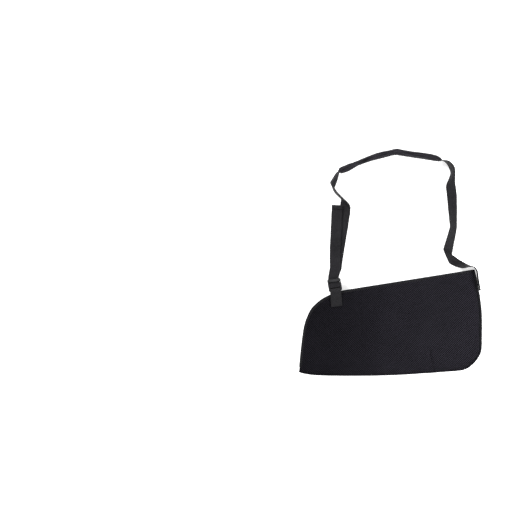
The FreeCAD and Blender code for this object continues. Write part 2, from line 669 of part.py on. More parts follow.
lines = []
cell("hem_seam", 22.0)
for i, at in enumerate((2.4, 4.6)):
    box = doc.addObject("Part::Box", "hem_thread_%d" % i)
    box.setExpression("Length", "Dims.hem_seam")
    box.setExpression("Width", "Dims.thread")
    box.setExpression("Height", "Dims.thread_thick")
    box.Placement = App.Placement(V(-11.0, tail_len - g["hem_length"] + at, g["hem_thick"] - g["strap_thick"] / 2),
                                  App.Rotation())
    lines.append(box)
group = doc.addObject("Part::Compound", "hem_threads")
group.Links = lines
keep(group, "tail_hem_stitching", TAIL_FRAME)


# ---------------------------------------------------------------- neck pad
# Every layer is a closed section turned about the centre of the neck arc.
def octagon(w, h, c):
    return [(w, -h + c), (w, h - c), (w - c, h), (-w + c, h), (-w, h - c), (-w, -h + c), (-w + c, -h), (w - c, -h)]


def rect(w, h):
    return [(w, -h), (w, h), (-w, h), (-w, -h)]


def swept(label, loops, start, angle):
    body = new_body(label)
    moved = [[(x + g["pad_radius"], z + g["pad_height"]) for x, z in loop] for loop in loops]
    sk = sketch_loops(body, moved, label, role="XZ_Plane")
    r = body.newObject("PartDesign::Revolution", label + "_turn")
    r.Profile = sk
    r.ReferenceAxis = (sk, ["V_Axis"])
    alias = cell(label + "_sweep", angle)
    r.setExpression("Angle", "Dims.%s" % alias)
    body.Tip = r
    doc.recompute()
    first = start
    if r.Shape.CenterOfMass.y < 0:
        first = start + angle
    turn = App.Placement(V(g["pad_centre_x"], g["pad_centre_y"], 0), App.Rotation(V(0, 0, 1), first))
    return keep(body, label, SHIFT.multiply(turn))


span = g["pad_to"] - g["pad_from"] - 2 * g["pad_tape"]
inner_oct = [(6.75, -13.586), (6.75, 13.586), (2.336, 18.0), (-2.336, 18.0), (-6.75, 13.586), (-6.75, -13.586),
             (-2.336, -18.0), (2.336, -18.0)]
mid_from = g["pad_from"] + g["pad_tape"]
swept("pad_cover", [octagon(7.75, 19.0, 5.0), inner_oct], mid_from, span)
swept("pad_foam", [inner_oct, rect(2.3, 14.55)], mid_from, span)
swept("pad_lining", [rect(2.3, 14.55), rect(1.5, 13.75)], mid_from, span)
swept("pad_end_binding_left", [octagon(7.75, 19.0, 5.0), rect(1.5, 13.75)], g["pad_to"] - g["pad_tape"], g["pad_tape"])
swept("pad_end_binding_right", [octagon(7.75, 19.0, 5.0), rect(1.5, 13.75)], g["pad_from"], g["pad_tape"])
swept("pad_seam_stitching", [[(-7.75, -13.4), (-7.75, -12.7), (-8.1, -12.7), (-8.1, -13.4)]], mid_from, span)

# ------------------------------------------------------------------ output
doc.recompute()
for obj in doc.Objects:
    bad = [s for s in obj.State if s in ("Invalid", "Error")]
    if bad:
        raise RuntimeError("%s is %s" % (obj.Name, obj.State))
for label, obj in parts:
    shape = obj.Shape
    if shape.isNull() or not shape.isValid() or not shape.Solids:
        raise RuntimeError("%s has a bad shape" % label)
os.makedirs("parts", exist_ok=True)
low = [1e9] * 3
high = [-1e9] * 3
for label, obj in parts:
    obj.Shape.exportStep(os.path.join("parts", label + ".step"))
    box = obj.Shape.BoundBox
    for i, (a, c) in enumerate(((box.XMin, box.XMax), (box.YMin, box.YMax), (box.ZMin, box.ZMax))):
        low[i] = min(low[i], a)
        high[i] = max(high[i], c)
    print("%-24s vol %10.1f  solids %d  x %.1f..%.1f y %.1f..%.1f z %.2f..%.2f" % (
        label, obj.Shape.Volume, len(obj.Shape.Solids), box.XMin, box.XMax, box.YMin, box.YMax, box.ZMin, box.ZMax))
print("box", [round(v, 3) for v in low], [round(v, 3) for v in high])
print("bar centre", BAR, "axis", UU, "tail", TAIL_DIR)
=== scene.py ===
import bpy
import math
import numpy as np
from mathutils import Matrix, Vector


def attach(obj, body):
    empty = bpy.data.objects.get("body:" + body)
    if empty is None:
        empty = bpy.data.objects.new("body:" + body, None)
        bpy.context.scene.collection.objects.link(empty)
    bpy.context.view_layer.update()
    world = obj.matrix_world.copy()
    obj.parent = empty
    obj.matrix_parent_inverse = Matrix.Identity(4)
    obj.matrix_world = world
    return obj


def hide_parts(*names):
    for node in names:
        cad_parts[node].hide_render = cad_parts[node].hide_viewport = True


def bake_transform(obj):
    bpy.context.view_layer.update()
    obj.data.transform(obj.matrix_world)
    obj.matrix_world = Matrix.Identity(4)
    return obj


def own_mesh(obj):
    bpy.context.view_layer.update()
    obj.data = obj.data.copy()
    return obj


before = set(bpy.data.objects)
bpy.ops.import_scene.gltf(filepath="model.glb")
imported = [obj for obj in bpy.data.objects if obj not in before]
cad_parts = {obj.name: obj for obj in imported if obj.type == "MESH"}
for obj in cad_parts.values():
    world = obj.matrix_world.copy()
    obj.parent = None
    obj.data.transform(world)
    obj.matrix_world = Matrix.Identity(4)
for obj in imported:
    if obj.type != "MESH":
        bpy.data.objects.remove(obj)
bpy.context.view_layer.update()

MM = 0.001
SHIFT = np.array([0.2, -0.475, 0.0])      # drafting frame to row frame, mm
rng = np.random.default_rng(7)

# ------------------------------------------------------------------ outline
HAND = [(-215.7, -257.1), (-210.8, -205.6), (-205.9, -165.7), (-201.6, -143.3), (-195.3, -125.7),
        (-187.1, -109.3), (-176.2, -97.3), (-162.2, -85.8), (-145.7, -76.8), (-129.2, -69.8), (-112.8, -64.9)]
ELBOW = (197.9, -15.5)
RIGHT = [(203.7, -38.8), (208.2, -64.6), (213.1, -97.5), (215.3, -130.4), (215.3, -177.4), (214.1, -205.6),
         (208.7, -219.7), (200.9, -231.5), (190.8, -241.3), (178.1, -249.8)]
BOTTOM = [(159.8, -254.0), (117.5, -257.3), (103.4, -258.5), (70.5, -260.6), (18.8, -263.7), (-42.3, -265.6),
          (-117.5, -265.8), (-169.2, -264.6), (-197.4, -261.6)]
B0 = np.array([-215.0, -256.2]); E0 = np.array([198.6, -15.3])
DD = (E0 - B0) / np.linalg.norm(E0 - B0)
DN = np.array([-DD[1], DD[0]])
TILT = math.radians(6.0)


def catmull(points, closed=False, sub=12):
    p = np.array(points, float)
    n = len(p)
    out = []
    last = n if closed else n - 1
    for i in range(last):
        a = p[(i - 1) % n] if (closed or i > 0) else 2 * p[0] - p[1]
        b = p[i % n]; c = p[(i + 1) % n]
        d = p[(i + 2) % n] if (closed or i + 2 < n) else 2 * p[-1] - p[-2]
        for k in range(sub):
            s = k / sub
            out.append(0.5 * ((2 * b) + (c - a) * s + (2 * a - 5 * b + 4 * c - d) * s * s + (3 * b - a - 3 * c + d) * s ** 3))
    if not closed:
        out.append(p[-1])
    return np.array(out)


def resample(poly, count):
    seg = np.linalg.norm(np.diff(poly, axis=0), axis=1)
    cum = np.concatenate([[0], np.cumsum(seg)])
    t = np.linspace(0, cum[-1], count)
    return np.stack([np.interp(t, cum, poly[:, k]) for k in range(poly.shape[1])], axis=1)


def length_of(poly):
    return float(np.linalg.norm(np.diff(poly, axis=0), axis=1).sum())


left_side = catmull(HAND)                                   # bottom to mouth corner
top_side = np.array([HAND[-1], ELBOW], float)
right_side = catmull(([ELBOW] + RIGHT[:8]))[::-1]           # rounded corner up to the elbow
bottom_side = catmull([HAND[0]] + BOTTOM[::-1] + [RIGHT[9], RIGHT[8], RIGHT[7]])
sewn_line = np.concatenate([bottom_side, right_side[1:]])   # bottom and elbow end in one line
open_line = np.concatenate([left_side, top_side[1:]])       # hand end and mouth in one line


def distance_to(pts, line, step=1):
    q = line[::step]
    if not np.allclose(q[-1], line[-1]):
        q = np.vstack([q, line[-1]])
    best = np.full(len(pts), 1e9)
    for a, b in zip(q[:-1], q[1:]):
        e = b - a
        L = e @ e
        if L < 1e-9:
            continue
        t = np.clip(((pts - a) @ e) / L, 0, 1)
        d = np.linalg.norm(pts - a - t[:, None] * e, axis=1)
        best = np.minimum(best, d)
    return best


def coons(nu, nv, inset_open=0.0, inset_sewn=0.0):
    L = resample(left_side, nv + 1); R = resample(right_side, nv + 1)
    T = resample(top_side, nu + 1); Bt = resample(bottom_side, nu + 1)
    u = np.linspace(0, 1, nu + 1)[:, None, None]; v = np.linspace(0, 1, nv + 1)[None, :, None]
    P = ((1 - v) * Bt[:, None, :] + v * T[:, None, :] + (1 - u) * L[None, :, :] + u * R[None, :, :]
         - (1 - u) * (1 - v) * L[0] - u * (1 - v) * R[0] - (1 - u) * v * L[-1] - u * v * R[-1])
    return P


def bend_noise(x, y):
    # slow undulation of the cloth, a few sines in fixed directions
    z = np.zeros_like(x)
    for k, (wl, ang, ph, amp) in enumerate([(190, 12, 0.3, 0.55), (120, 63, 1.9, 0.5), (83, -28, 4.1, 0.4), (61, 101, 2.2, 0.28),
                                            (47, 35, 5.3, 0.2), (36, -62, 0.9, 0.15), (150, -8, 3.0, 0.5)]):
        a = math.radians(ang)
        z += amp * np.sin(2 * np.pi * (x * math.cos(a) + y * math.sin(a)) / wl + ph)
    return z


def groove(x, y, p, q, depth, width):
    p = np.array(p, float); q = np.array(q, float)
    e = q - p; L = e @ e
    t = np.clip(((x - p[0]) * e[0] + (y - p[1]) * e[1]) / L, 0, 1)
    d = np.hypot(x - p[0] - t * e[0], y - p[1] - t * e[1])
    fade = np.sin(np.pi * np.clip(t, 0.02, 0.98)) ** 0.5
    return -depth * fade * np.exp(-(d / width) ** 2)


def front_z(x, y):
    """Outside of the front panel, mm, over drafting-frame plan points."""
    pts = np.stack([x, y], axis=1)
    n = (pts - B0) @ DN
    rise = math.tan(TILT) * 0.5 * (np.sqrt(n * n + 20.0 ** 2) + n) - math.tan(TILT) * 10 * np.exp(-np.abs(n) / 60)
    ds = distance_to(pts, sewn_line, 3)
    do = distance_to(pts, open_line, 3)
    z = 10.6 + rise - 4.0 * np.exp(-(ds / 8.0) ** 1.6)
    calm = np.clip(ds / 30, 0, 1) * np.clip(do / 26, 0.25, 1)
    z += calm * bend_noise(x, y)
    z += groove(x, y, (-70.5, -86), (-69.0, -192), 1.7, 2.6)
    z += groove(x, y, (-90, -108), (-66, -104), 0.7, 2.6)
    z += groove(x, y, (90, -195), (103, -252), 2.0, 3.0)
    z += groove(x, y, (175, -30), (60, -75), 0.5, 9.0)
    z += groove(x, y, (203, -70), (150, -150), 0.45, 12.0)
    z += groove(x, y, (-190, -215), (-60, -235), 0.5, 10.0)
    z += -groove(x, y, (-150, -240), (120, -243), 0.5, 9.0)
    return z


PITCH = 2.61


def knit(x, y):
    # two diagonal rows of cells; the cloth is drawn a little one way at the hand, the other way at the elbow
    a = 0.5 - 0.26 * np.clip((x + 30.0) / 110.0, -1, 1)
    f = a * np.cos(np.pi * (x + y) / PITCH) + (1 - a) * np.cos(np.pi * (x - y) / PITCH)
    return np.clip(f, -0.35, 1.0)


# ------------------------------------------------------------------- meshes
def make(name, verts, faces, smooth=True, weave=None):
    me = bpy.data.meshes.new(name)
    v = np.asarray(verts, float) + SHIFT
    me.from_pydata((v * MM).tolist(), [], [tuple(int(i) for i in f) for f in faces])
    me.validate()
    me.update()
    a = me.attributes.new("rest", "FLOAT_VECTOR", "POINT")
    a.data.foreach_set("vector", (v * MM).astype(np.float32).ravel())
    if weave is not None:
        a = me.attributes.new("weave", "FLOAT_VECTOR", "POINT")
        a.data.foreach_set("vector", (np.asarray(weave, float) * MM).astype(np.float32).ravel())
    me.polygons.foreach_set("use_smooth", [smooth] * len(me.polygons))
    ob = bpy.data.objects.new(name, me)
    bpy.context.scene.collection.objects.link(ob)
    return ob


def orient(ob):
    import bmesh
    bm = bmesh.new(); bm.from_mesh(ob.data)
    bmesh.ops.recalc_face_normals(bm, faces=bm.faces)
    bm.to_mesh(ob.data); bm.free()
    ob.data.update()
    return ob


def shell(name, outer, inner, ratio, flip=False):
    """Closed sheet from a fine outer grid and an inner grid `ratio` times coarser."""
    nu, nv = outer.shape[0] - 1, outer.shape[1] - 1
    mu, mv = inner.shape[0] - 1, inner.shape[1] - 1
    verts = np.concatenate([outer.reshape(-1, 3), inner.reshape(-1, 3)])
    base = (nu + 1) * (nv + 1)
    O = lambda i, j: i * (nv + 1) + j
    I = lambda i, j: base + i * (mv + 1) + j
    faces = []
    for i in range(nu):
        for j in range(nv):
            faces.append((O(i, j), O(i + 1, j), O(i + 1, j + 1), O(i, j + 1)))
    for i in range(mu):
        for j in range(mv):
            faces.append((I(i, j), I(i, j + 1), I(i + 1, j + 1), I(i + 1, j)))

    def rim(fine, coarse):
        for k in range(len(coarse) - 1):
            for s in range(ratio):
                faces.append((fine[k * ratio + s + 1], fine[k * ratio + s], coarse[k]))
            faces.append((fine[(k + 1) * ratio], coarse[k], coarse[k + 1]))

    rim([O(i, 0) for i in range(nu + 1)], [I(i, 0) for i in range(mu + 1)])
    rim([O(nu, j) for j in range(nv + 1)], [I(mu, j) for j in range(mv + 1)])
    rim([O(i, nv) for i in range(nu, -1, -1)], [I(i, mv) for i in range(mu, -1, -1)])
    rim([O(0, j) for j in range(nv, -1, -1)], [I(0, j) for j in range(mv, -1, -1)])
    return verts, faces


def inset_grid(P, d_open, d_sewn):
    """Pull the grid's outermost rows in from the outline."""
    pts = P.reshape(-1, 2)
    c = np.array([0.0, -150.0])
    do = distance_to(pts, open_line, 2); ds = distance_to(pts, sewn_line, 2)
    out = pts.copy()
    for line, d, want in ((open_line, do, d_open), (sewn_line, ds, d_sewn)):
        if want <= 0:
            continue
        move = np.clip(want - d, 0, want)
        if not move.any():
            continue
        k = move > 0
        # towards the middle of the pouch, along the local edge normal
        idx = np.argmin(((pts[k][:, None, :] - line[None, ::2, :]) ** 2).sum(2), axis=1) * 2
        idx = np.clip(idx, 1, len(line) - 2)
        tan = line[idx + 1] - line[idx - 1]
        nrm = np.stack([-tan[:, 1], tan[:, 0]], axis=1)
        nrm /= np.linalg.norm(nrm, axis=1)[:, None]
        sgn = np.sign(((c - pts[k]) * nrm).sum(1))
        out[k] += nrm * (sgn * move[k])[:, None]
    return out.reshape(P.shape)


NU, NV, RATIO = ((352, 208, 4))
fine = inset_grid(coons(NU, NV), 0.8, 1.6)
xy = fine.reshape(-1, 2)
zf = front_z(xy[:, 0], xy[:, 1])
edge = np.minimum(distance_to(xy, open_line, 3), distance_to(xy, sewn_line, 3))
amp = 0.38 * np.clip((edge - 3.0) / 4.0, 0, 1)
outer = np.concatenate([xy, (zf - amp * knit(xy[:, 0], xy[:, 1]))[:, None]], axis=1).reshape(NU + 1, NV + 1, 3)
coarse = fine[::RATIO, ::RATIO]
cxy = coarse.reshape(-1, 2)
zi = front_z(cxy[:, 0], cxy[:, 1]) - 2.5
inner = np.concatenate([cxy, zi[:, None]], axis=1).reshape(NU // RATIO + 1, NV // RATIO + 1, 3)
verts, faces = shell("front_panel", outer, inner, RATIO)
front = orient(make("front_panel", verts, faces))

# back panel: flat underside on the table, edges lifted a little at the seams
bu, bv = 236, 140
back = inset_grid(coons(bu, bv), 0.8, 1.6)
bxy = back.reshape(-1, 2)
bds = distance_to(bxy, sewn_line, 3)
bdo = distance_to(bxy, open_line, 3)
lift = 2.4 * np.exp(-(bds / 6.0) ** 1.6)
amp = 0.22 * np.clip((np.minimum(bds, bdo) - 3.0) / 4.0, 0, 1)
under = np.concatenate([bxy, (0.22 + lift + amp * knit(bxy[:, 0] * 0.75, bxy[:, 1] * 0.75) * 0.9)[:, None]], axis=1).reshape(bu + 1, bv + 1, 3)
cb = back[::4, ::4].reshape(-1, 2)
cds = distance_to(cb, sewn_line, 3)
upper = np.concatenate([cb, (2.8 + 2.0 * np.exp(-(cds / 6.0) ** 1.6))[:, None]], axis=1).reshape(bu // 4 + 1, bv // 4 + 1, 3)
verts, faces = shell("back_panel", under, upper, 4)
back_panel = orient(make("back_panel_cloth", verts, faces))


def sweep(name, path, frames, profile, caps=True, closed_path=False, along=None):
    """profile: (k,2) closed loop; frames: per point (a_vec, b_vec)."""
    base = profile[len(profile) // 2] if np.ndim(profile) == 3 else profile
    n, k = len(path), len(base)
    verts, weave = [], []
    per = np.concatenate([[0], np.cumsum(np.linalg.norm(np.diff(np.vstack([base, base[:1]]), axis=0), axis=1))])
    run = np.concatenate([[0], np.cumsum(np.linalg.norm(np.diff(path, axis=0), axis=1))])
    for i in range(n):
        a, b = frames[i]
        prof = profile[i] if np.ndim(profile) == 3 else profile
        verts.append(path[i] + prof[:, :1] * a + prof[:, 1:] * b)
        weave.append(np.stack([per[:k], np.full(k, run[i]), np.zeros(k)], axis=1))
    verts = np.concatenate(verts); weave = np.concatenate(weave)
    faces = []
    for i in range(n - 1):
        for j in range(k):
            jj = (j + 1) % k
            faces.append((i * k + j, i * k + jj, (i + 1) * k + jj, (i + 1) * k + j))
    if caps:
        faces.append(tuple(range(k))[::-1])
        faces.append(tuple((n - 1) * k + j for j in range(k)))
    return orient(make(name, verts, faces, weave=weave))


def super_ring(wa, wb, count, power=2.0, ca=0.0, cb=0.0):
    t = np.linspace(0, 2 * np.pi, count, endpoint=False)
    c, s = np.cos(t), np.sin(t)
    return np.stack([ca + wa * np.sign(c) * np.abs(c) ** (2 / power), cb + wb * np.sign(s) * np.abs(s) ** (2 / power)], axis=1)


def plan_normals(line, centre=(0.0, -150.0)):
    t = np.gradient(line, axis=0)
    t /= np.linalg.norm(t, axis=1)[:, None]
    nrm = np.stack([-t[:, 1], t[:, 0]], axis=1)
    sgn = np.sign(((line - np.array(centre)) * nrm).sum(1))
    return t, nrm * sgn[:, None]                      # outward


Z = np.array([0.0, 0.0, 1.0])


def edge_tape(name, line, zfun, half_w, half_t, inset, count=None, drop=0.0, power=5.0, start_gap=0.0):
    pts = resample(line, count or max(24, int(length_of(line) / 2.2)))
    t, o = plan_normals(pts)
    centre = pts - o * inset
    z = zfun(centre[:, 0], centre[:, 1])
    path = np.concatenate([centre, z[:, None]], axis=1)
    frames = []
    for i in range(len(path)):
        a = np.array([o[i][0], o[i][1], 0.0])
        frames.append((a, Z))
    wob = 0.12 * np.sin(np.arange(len(path)) * 1.9) + 0.1 * np.sin(np.arange(len(path)) * 0.63 + 1)
    path[:, 2] += wob * 0.6
    return sweep(name, path, frames, super_ring(half_w, half_t, 20, power))


def stitches(name, pts3, pitch=3.3, length=2.3, radius=0.34, up=None, lift=0.2, seg=6):
    """A row of real stitches: short rounded threads along a 3-D line."""
    L = length_of(pts3)
    cum = np.concatenate([[0], np.cumsum(np.linalg.norm(np.diff(pts3, axis=0), axis=1))])
    at = lambda s: np.array([np.interp(s, cum, pts3[:, k]) for k in range(3)])
    verts, faces = [], []
    s = 0.6
    while s + length < L:
        a, b = at(s), at(s + length)
        d = (b - a) / max(np.linalg.norm(b - a), 1e-6)
        u = Z if up is None else np.asarray(up, float)
        u = u - d * (u @ d)
        u /= np.linalg.norm(u)
        w = np.cross(d, u)
        base = len(verts)
        prof = [(0.0, 0.25, -0.45), (0.12, 0.8, -0.1), (0.5, 1.0, 0.25), (0.88, 0.8, -0.1), (1.0, 0.25, -0.45)]
        for f, r, h in prof:
            c = a + (b - a) * f + u * (lift + h * radius)
            for k in range(seg):
                ang = 2 * math.pi * k / seg
                verts.append(c + (math.cos(ang) * w + math.sin(ang) * u * 0.85) * radius * r)
        for i in range(len(prof) - 1):
            for k in range(seg):
                kk = (k + 1) % seg
                faces.append((base + i * seg + k, base + i * seg + kk, base + (i + 1) * seg + kk, base + (i + 1) * seg + k))
        faces.append(tuple(base + k for k in range(seg))[::-1])
        faces.append(tuple(base + (len(prof) - 1) * seg + k for k in range(seg)))
        s += pitch
    return orient(make(name, verts, faces))


# -------------------------------------------------------------- materials
def nodes_of(name):
    m = bpy.data.materials.new(name)
    m.use_nodes = True
    nt = m.node_tree
    return m, nt, nt.nodes["Principled BSDF"]


def math_node(nt, op, a, b=None, clamp=False):
    n = nt.nodes.new("ShaderNodeMath"); n.operation = op; n.use_clamp = clamp
    for i, x in enumerate((a, b)):
        if x is None:
            continue
        if isinstance(x, (int, float)):
            n.inputs[i].default_value = x
        else:
            nt.links.new(x, n.inputs[i])
    return n.outputs[0]


def attr(nt, name):
    n = nt.nodes.new("ShaderNodeAttribute"); n.attribute_name = name
    return n.outputs["Vector"]


def split(nt, vec):
    n = nt.nodes.new("ShaderNodeSeparateXYZ"); nt.links.new(vec, n.inputs[0])
    return n.outputs


def noise(nt, vec, scale, detail=3.0, rough=0.55):
    n = nt.nodes.new("ShaderNodeTexNoise")
    n.inputs["Scale"].default_value = scale; n.inputs["Detail"].default_value = detail
    n.inputs["Roughness"].default_value = rough
    if vec is not None:
        nt.links.new(vec, n.inputs["Vector"])
    return n.outputs["Fac"]


def ramp(nt, fac, stops):
    n = nt.nodes.new("ShaderNodeValToRGB")
    while len(n.color_ramp.elements) > 2:
        n.color_ramp.elements.remove(n.color_ramp.elements[-1])
    for i, (pos, col) in enumerate(stops):
        e = n.color_ramp.elements[i] if i < 2 else n.color_ramp.elements.new(pos)
        e.position = pos; e.color = (*col, 1.0)
    nt.links.new(fac, n.inputs["Fac"])
    return n.outputs["Color"]


def bump(nt, height, distance, strength, bsdf):
    n = nt.nodes.new("ShaderNodeBump")
    n.inputs["Distance"].default_value = distance; n.inputs["Strength"].default_value = strength
    nt.links.new(height, n.inputs["Height"])
    nt.links.new(n.outputs["Normal"], bsdf.inputs["Normal"])


def mix_add(nt, parts):
    out = None
    for sock, w in parts:
        s = math_node(nt, "MULTIPLY", sock, w)
        out = s if out is None else math_node(nt, "ADD", out, s)
    return out


def mesh_cloth(name, pitch, dark, light, sheen=0.006, source="rest"):
    """Spacer mesh: staggered open cells between lighter knitted yarns."""
    m, nt, b = nodes_of(name)
    v = attr(nt, "rest")
    x, y, z = split(nt, v if source == "rest" else attr(nt, source))
    k = math.pi / (pitch * MM)
    px = math_node(nt, "MULTIPLY", math_node(nt, "SUBTRACT", x, 0.0002), k)
    py = math_node(nt, "MULTIPLY", math_node(nt, "ADD", y, 0.000475), k)
    d1 = math_node(nt, "COSINE", math_node(nt, "ADD", px, py))
    d2 = math_node(nt, "COSINE", math_node(nt, "SUBTRACT", px, py))
    share = nt.nodes.new("ShaderNodeMapRange"); share.clamp = True
    nt.links.new(x, share.inputs["Value"])
    for key, val in (("From Min", -0.14), ("From Max", 0.08), ("To Min", 0.76), ("To Max", 0.24)):
        share.inputs[key].default_value = val
    share = share.outputs["Result"]
    cell = math_node(nt, "ADD", math_node(nt, "MULTIPLY", d1, share), math_node(nt, "MULTIPLY", d2, math_node(nt, "SUBTRACT", 1.0, share)))
    warp = noise(nt, v, 260.0, 2.0)
    hole = math_node(nt, "ADD", cell, math_node(nt, "MULTIPLY", math_node(nt, "SUBTRACT", warp, 0.5), 0.5))
    yarn = noise(nt, v, 2600.0, 2.0)
    broad = noise(nt, v, 14.0, 3.0)
    fac = mix_add(nt, [(hole, 0.46), (yarn, -0.26), (broad, -0.16)])
    fac = math_node(nt, "ADD", fac, 0.512)
    # painted shade: the colour darkens towards the hand end (left) of the pouch, in place of the light falling off
    # there
    painted_shade_left = nt.nodes.new("ShaderNodeMapRange"); painted_shade_left.clamp = True
    nt.links.new(x if source == "rest" else split(nt, v)[0], painted_shade_left.inputs["Value"])
    for key, val in (("From Min", -0.15), ("From Max", -0.01), ("To Min", 0.15), ("To Max", 0.0)):
        painted_shade_left.inputs[key].default_value = val
    fac = math_node(nt, "ADD", fac, painted_shade_left.outputs["Result"])
    col = ramp(nt, fac, [(0.02, light), (0.24, tuple(a * 0.42 + c * 0.58 for a, c in zip(light, dark))), (0.46, dark)])
    nt.links.new(col, b.inputs["Base Color"])
    b.inputs["Roughness"].default_value = 0.78
    b.inputs["Sheen Weight"].default_value = sheen
    b.inputs["Sheen Roughness"].default_value = 0.45
    b.inputs["Specular IOR Level"].default_value = 0.02
    h = mix_add(nt, [(hole, -0.8), (yarn, 0.35)])
    bump(nt, h, 0.0006, 0.7, b)
    return m


def woven(name, dark, light, rib=2.5, twill=1.3, rough=0.6, sheen=0.03, strength=0.6):
    """Webbing: lengthwise wales crossed by a fine twill, in the piece's own across/along coordinates."""
    m, nt, b = nodes_of(name)
    w = attr(nt, "weave")
    a, l, _ = split(nt, w)
    wale = math_node(nt, "COSINE", math_node(nt, "MULTIPLY", a, 2 * math.pi / (rib * MM)))
    tw1 = math_node(nt, "SINE", math_node(nt, "MULTIPLY", math_node(nt, "ADD", l, math_node(nt, "MULTIPLY", a, 0.8)), 2 * math.pi / (twill * MM)))
    tw2 = math_node(nt, "SINE", math_node(nt, "MULTIPLY", math_node(nt, "SUBTRACT", l, math_node(nt, "MULTIPLY", a, 0.8)), 2 * math.pi / (twill * MM)))
    side = math_node(nt, "GREATER_THAN", wale, 0.0)
    tw = math_node(nt, "ADD", math_node(nt, "MULTIPLY", tw1, side), math_node(nt, "MULTIPLY", tw2, math_node(nt, "SUBTRACT", 1.0, side)))
    r = attr(nt, "rest")
    fuzz = noise(nt, r, 1900.0, 2.0); broad = noise(nt, r, 22.0, 3.0)
    fac = math_node(nt, "ADD", mix_add(nt, [(wale, 0.10), (tw, 0.22), (fuzz, 0.35), (broad, 0.45)]), 0.08)
    nt.links.new(ramp(nt, fac, [(0.12, dark), (0.88, light)]), b.inputs["Base Color"])
    b.inputs["Roughness"].default_value = rough
    b.inputs["Sheen Weight"].default_value = sheen
    b.inputs["Sheen Roughness"].default_value = 0.4
    b.inputs["Specular IOR Level"].default_value = 0.08
    bump(nt, mix_add(nt, [(wale, 0.25), (tw, 0.5), (fuzz, 0.25)]), 0.00035, strength, b)
    return m


def plain_cloth(name, dark, light, fine=1400.0, broad_scale=18.0, rough=0.85, sheen=0.03, strength=0.5, wales=None, painted_wrinkle_streaks=False):
    m, nt, b = nodes_of(name)
    r = attr(nt, "rest")
    fuzz = noise(nt, r, fine, 3.0); broad = noise(nt, r, broad_scale, 4.0)
    parts = [(fuzz, 0.6), (broad, 0.6)]
    hparts = [(fuzz, 0.8)]
    if wales:
        a, l, _ = split(nt, attr(nt, "weave"))
        wl = math_node(nt, "SINE", math_node(nt, "MULTIPLY", a, 2 * math.pi / (wales * MM)))
        wc = math_node(nt, "SINE", math_node(nt, "MULTIPLY", l, 2 * math.pi / (wales * 1.4 * MM)))
        cell = math_node(nt, "MULTIPLY", wl, wc)
        parts.append((cell, 0.14)); hparts.append((cell, 0.5))
    if painted_wrinkle_streaks:
        # painted shade and highlight: light and dark streaks along the sleeve, painted in place of the shading of its
        # long wrinkles
        st = nt.nodes.new("ShaderNodeCombineXYZ")
        nt.links.new(math_node(nt, "MULTIPLY", a, 1.0), st.inputs[0])
        nt.links.new(math_node(nt, "MULTIPLY", l, 0.09), st.inputs[1])
        parts.append((math_node(nt, "SUBTRACT", noise(nt, st.outputs[0], 420.0, 2.0), 0.5), 1.5))
    fac = math_node(nt, "ADD", mix_add(nt, parts), -0.1)
    nt.links.new(ramp(nt, fac, [(0.2, dark), (0.8, light)]), b.inputs["Base Color"])
    b.inputs["Roughness"].default_value = rough
    b.inputs["Sheen Weight"].default_value = sheen
    b.inputs["Sheen Roughness"].default_value = 0.5
    b.inputs["Specular IOR Level"].default_value = 0.08
    bump(nt, mix_add(nt, hparts), 0.0004, strength, b)
    return m


def moulded(name, base, rough):
    m, nt, b = nodes_of(name)
    tc = nt.nodes.new("ShaderNodeTexCoord").outputs["Object"]
    n1 = noise(nt, tc, 900.0, 4.0); n2 = noise(nt, tc, 70.0, 3.0)
    fac = mix_add(nt, [(n1, 0.35), (n2, 0.65)])
    nt.links.new(ramp(nt, fac, [(0.3, tuple(c * 0.75 for c in base)), (0.75, tuple(c * 1.35 for c in base))]), b.inputs["Base Color"])
    nt.links.new(math_node(nt, "ADD", math_node(nt, "MULTIPLY", n2, 0.22), rough - 0.1), b.inputs["Roughness"])
    b.inputs["Specular IOR Level"].default_value = 0.28
    bump(nt, n1, 0.00012, 0.35, b)
    return m


M_MESH = mesh_cloth("mesh_front", PITCH, (0.0004, 0.0004, 0.0006), (0.0225, 0.0212, 0.0276))
M_MESH_EDGE = mesh_cloth("mesh_turned", PITCH, (0.0006, 0.0006, 0.0008), (0.0200, 0.0190, 0.0245), source="weave")
M_BACK = mesh_cloth("mesh_back", PITCH / 0.75, (0.0005, 0.0005, 0.0007), (0.026, 0.0246, 0.032))
M_TAPE = woven("binding_tape", (0.0040, 0.0039, 0.0047), (0.0130, 0.0128, 0.0150), rib=1.6, twill=0.9, rough=0.75, sheen=0.015, strength=0.35)
M_WEB = woven("strap_webbing", (0.0018, 0.0017, 0.0021), (0.0240, 0.0232, 0.0266), sheen=0.02)
M_THREAD = plain_cloth("thread", (0.004, 0.004, 0.0048), (0.016, 0.016, 0.019), fine=3000.0, rough=0.6, sheen=0.015)
M_PAD = plain_cloth("pad_cloth", (0.0018, 0.0016, 0.0022), (0.0270, 0.0252, 0.0320), wales=1.5, strength=0.6, painted_wrinkle_streaks=True)
# lighter copy of the strap webbing: partly the tab's own slightly lighter cloth, partly painted light that offsets the
# shade the tab sits in beside the lock
M_TAB = woven("tab_webbing_cloth", (0.0026, 0.0025, 0.0029), (0.0300, 0.0292, 0.0325), sheen=0.02)
M_LOCK = moulded("lock_plastic", (0.017, 0.017, 0.0185), 0.44)


def finish(ob, mat):
    ob.data.materials.clear(); ob.data.materials.append(mat)
    return ob


def with_mouth(ob):
    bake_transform(ob)
    return ob


finish(front, M_MESH); with_mouth(front)
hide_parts("front_panel_lower", "front_panel_upper")
finish(back_panel, M_BACK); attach(back_panel, "pouch")
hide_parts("back_panel")

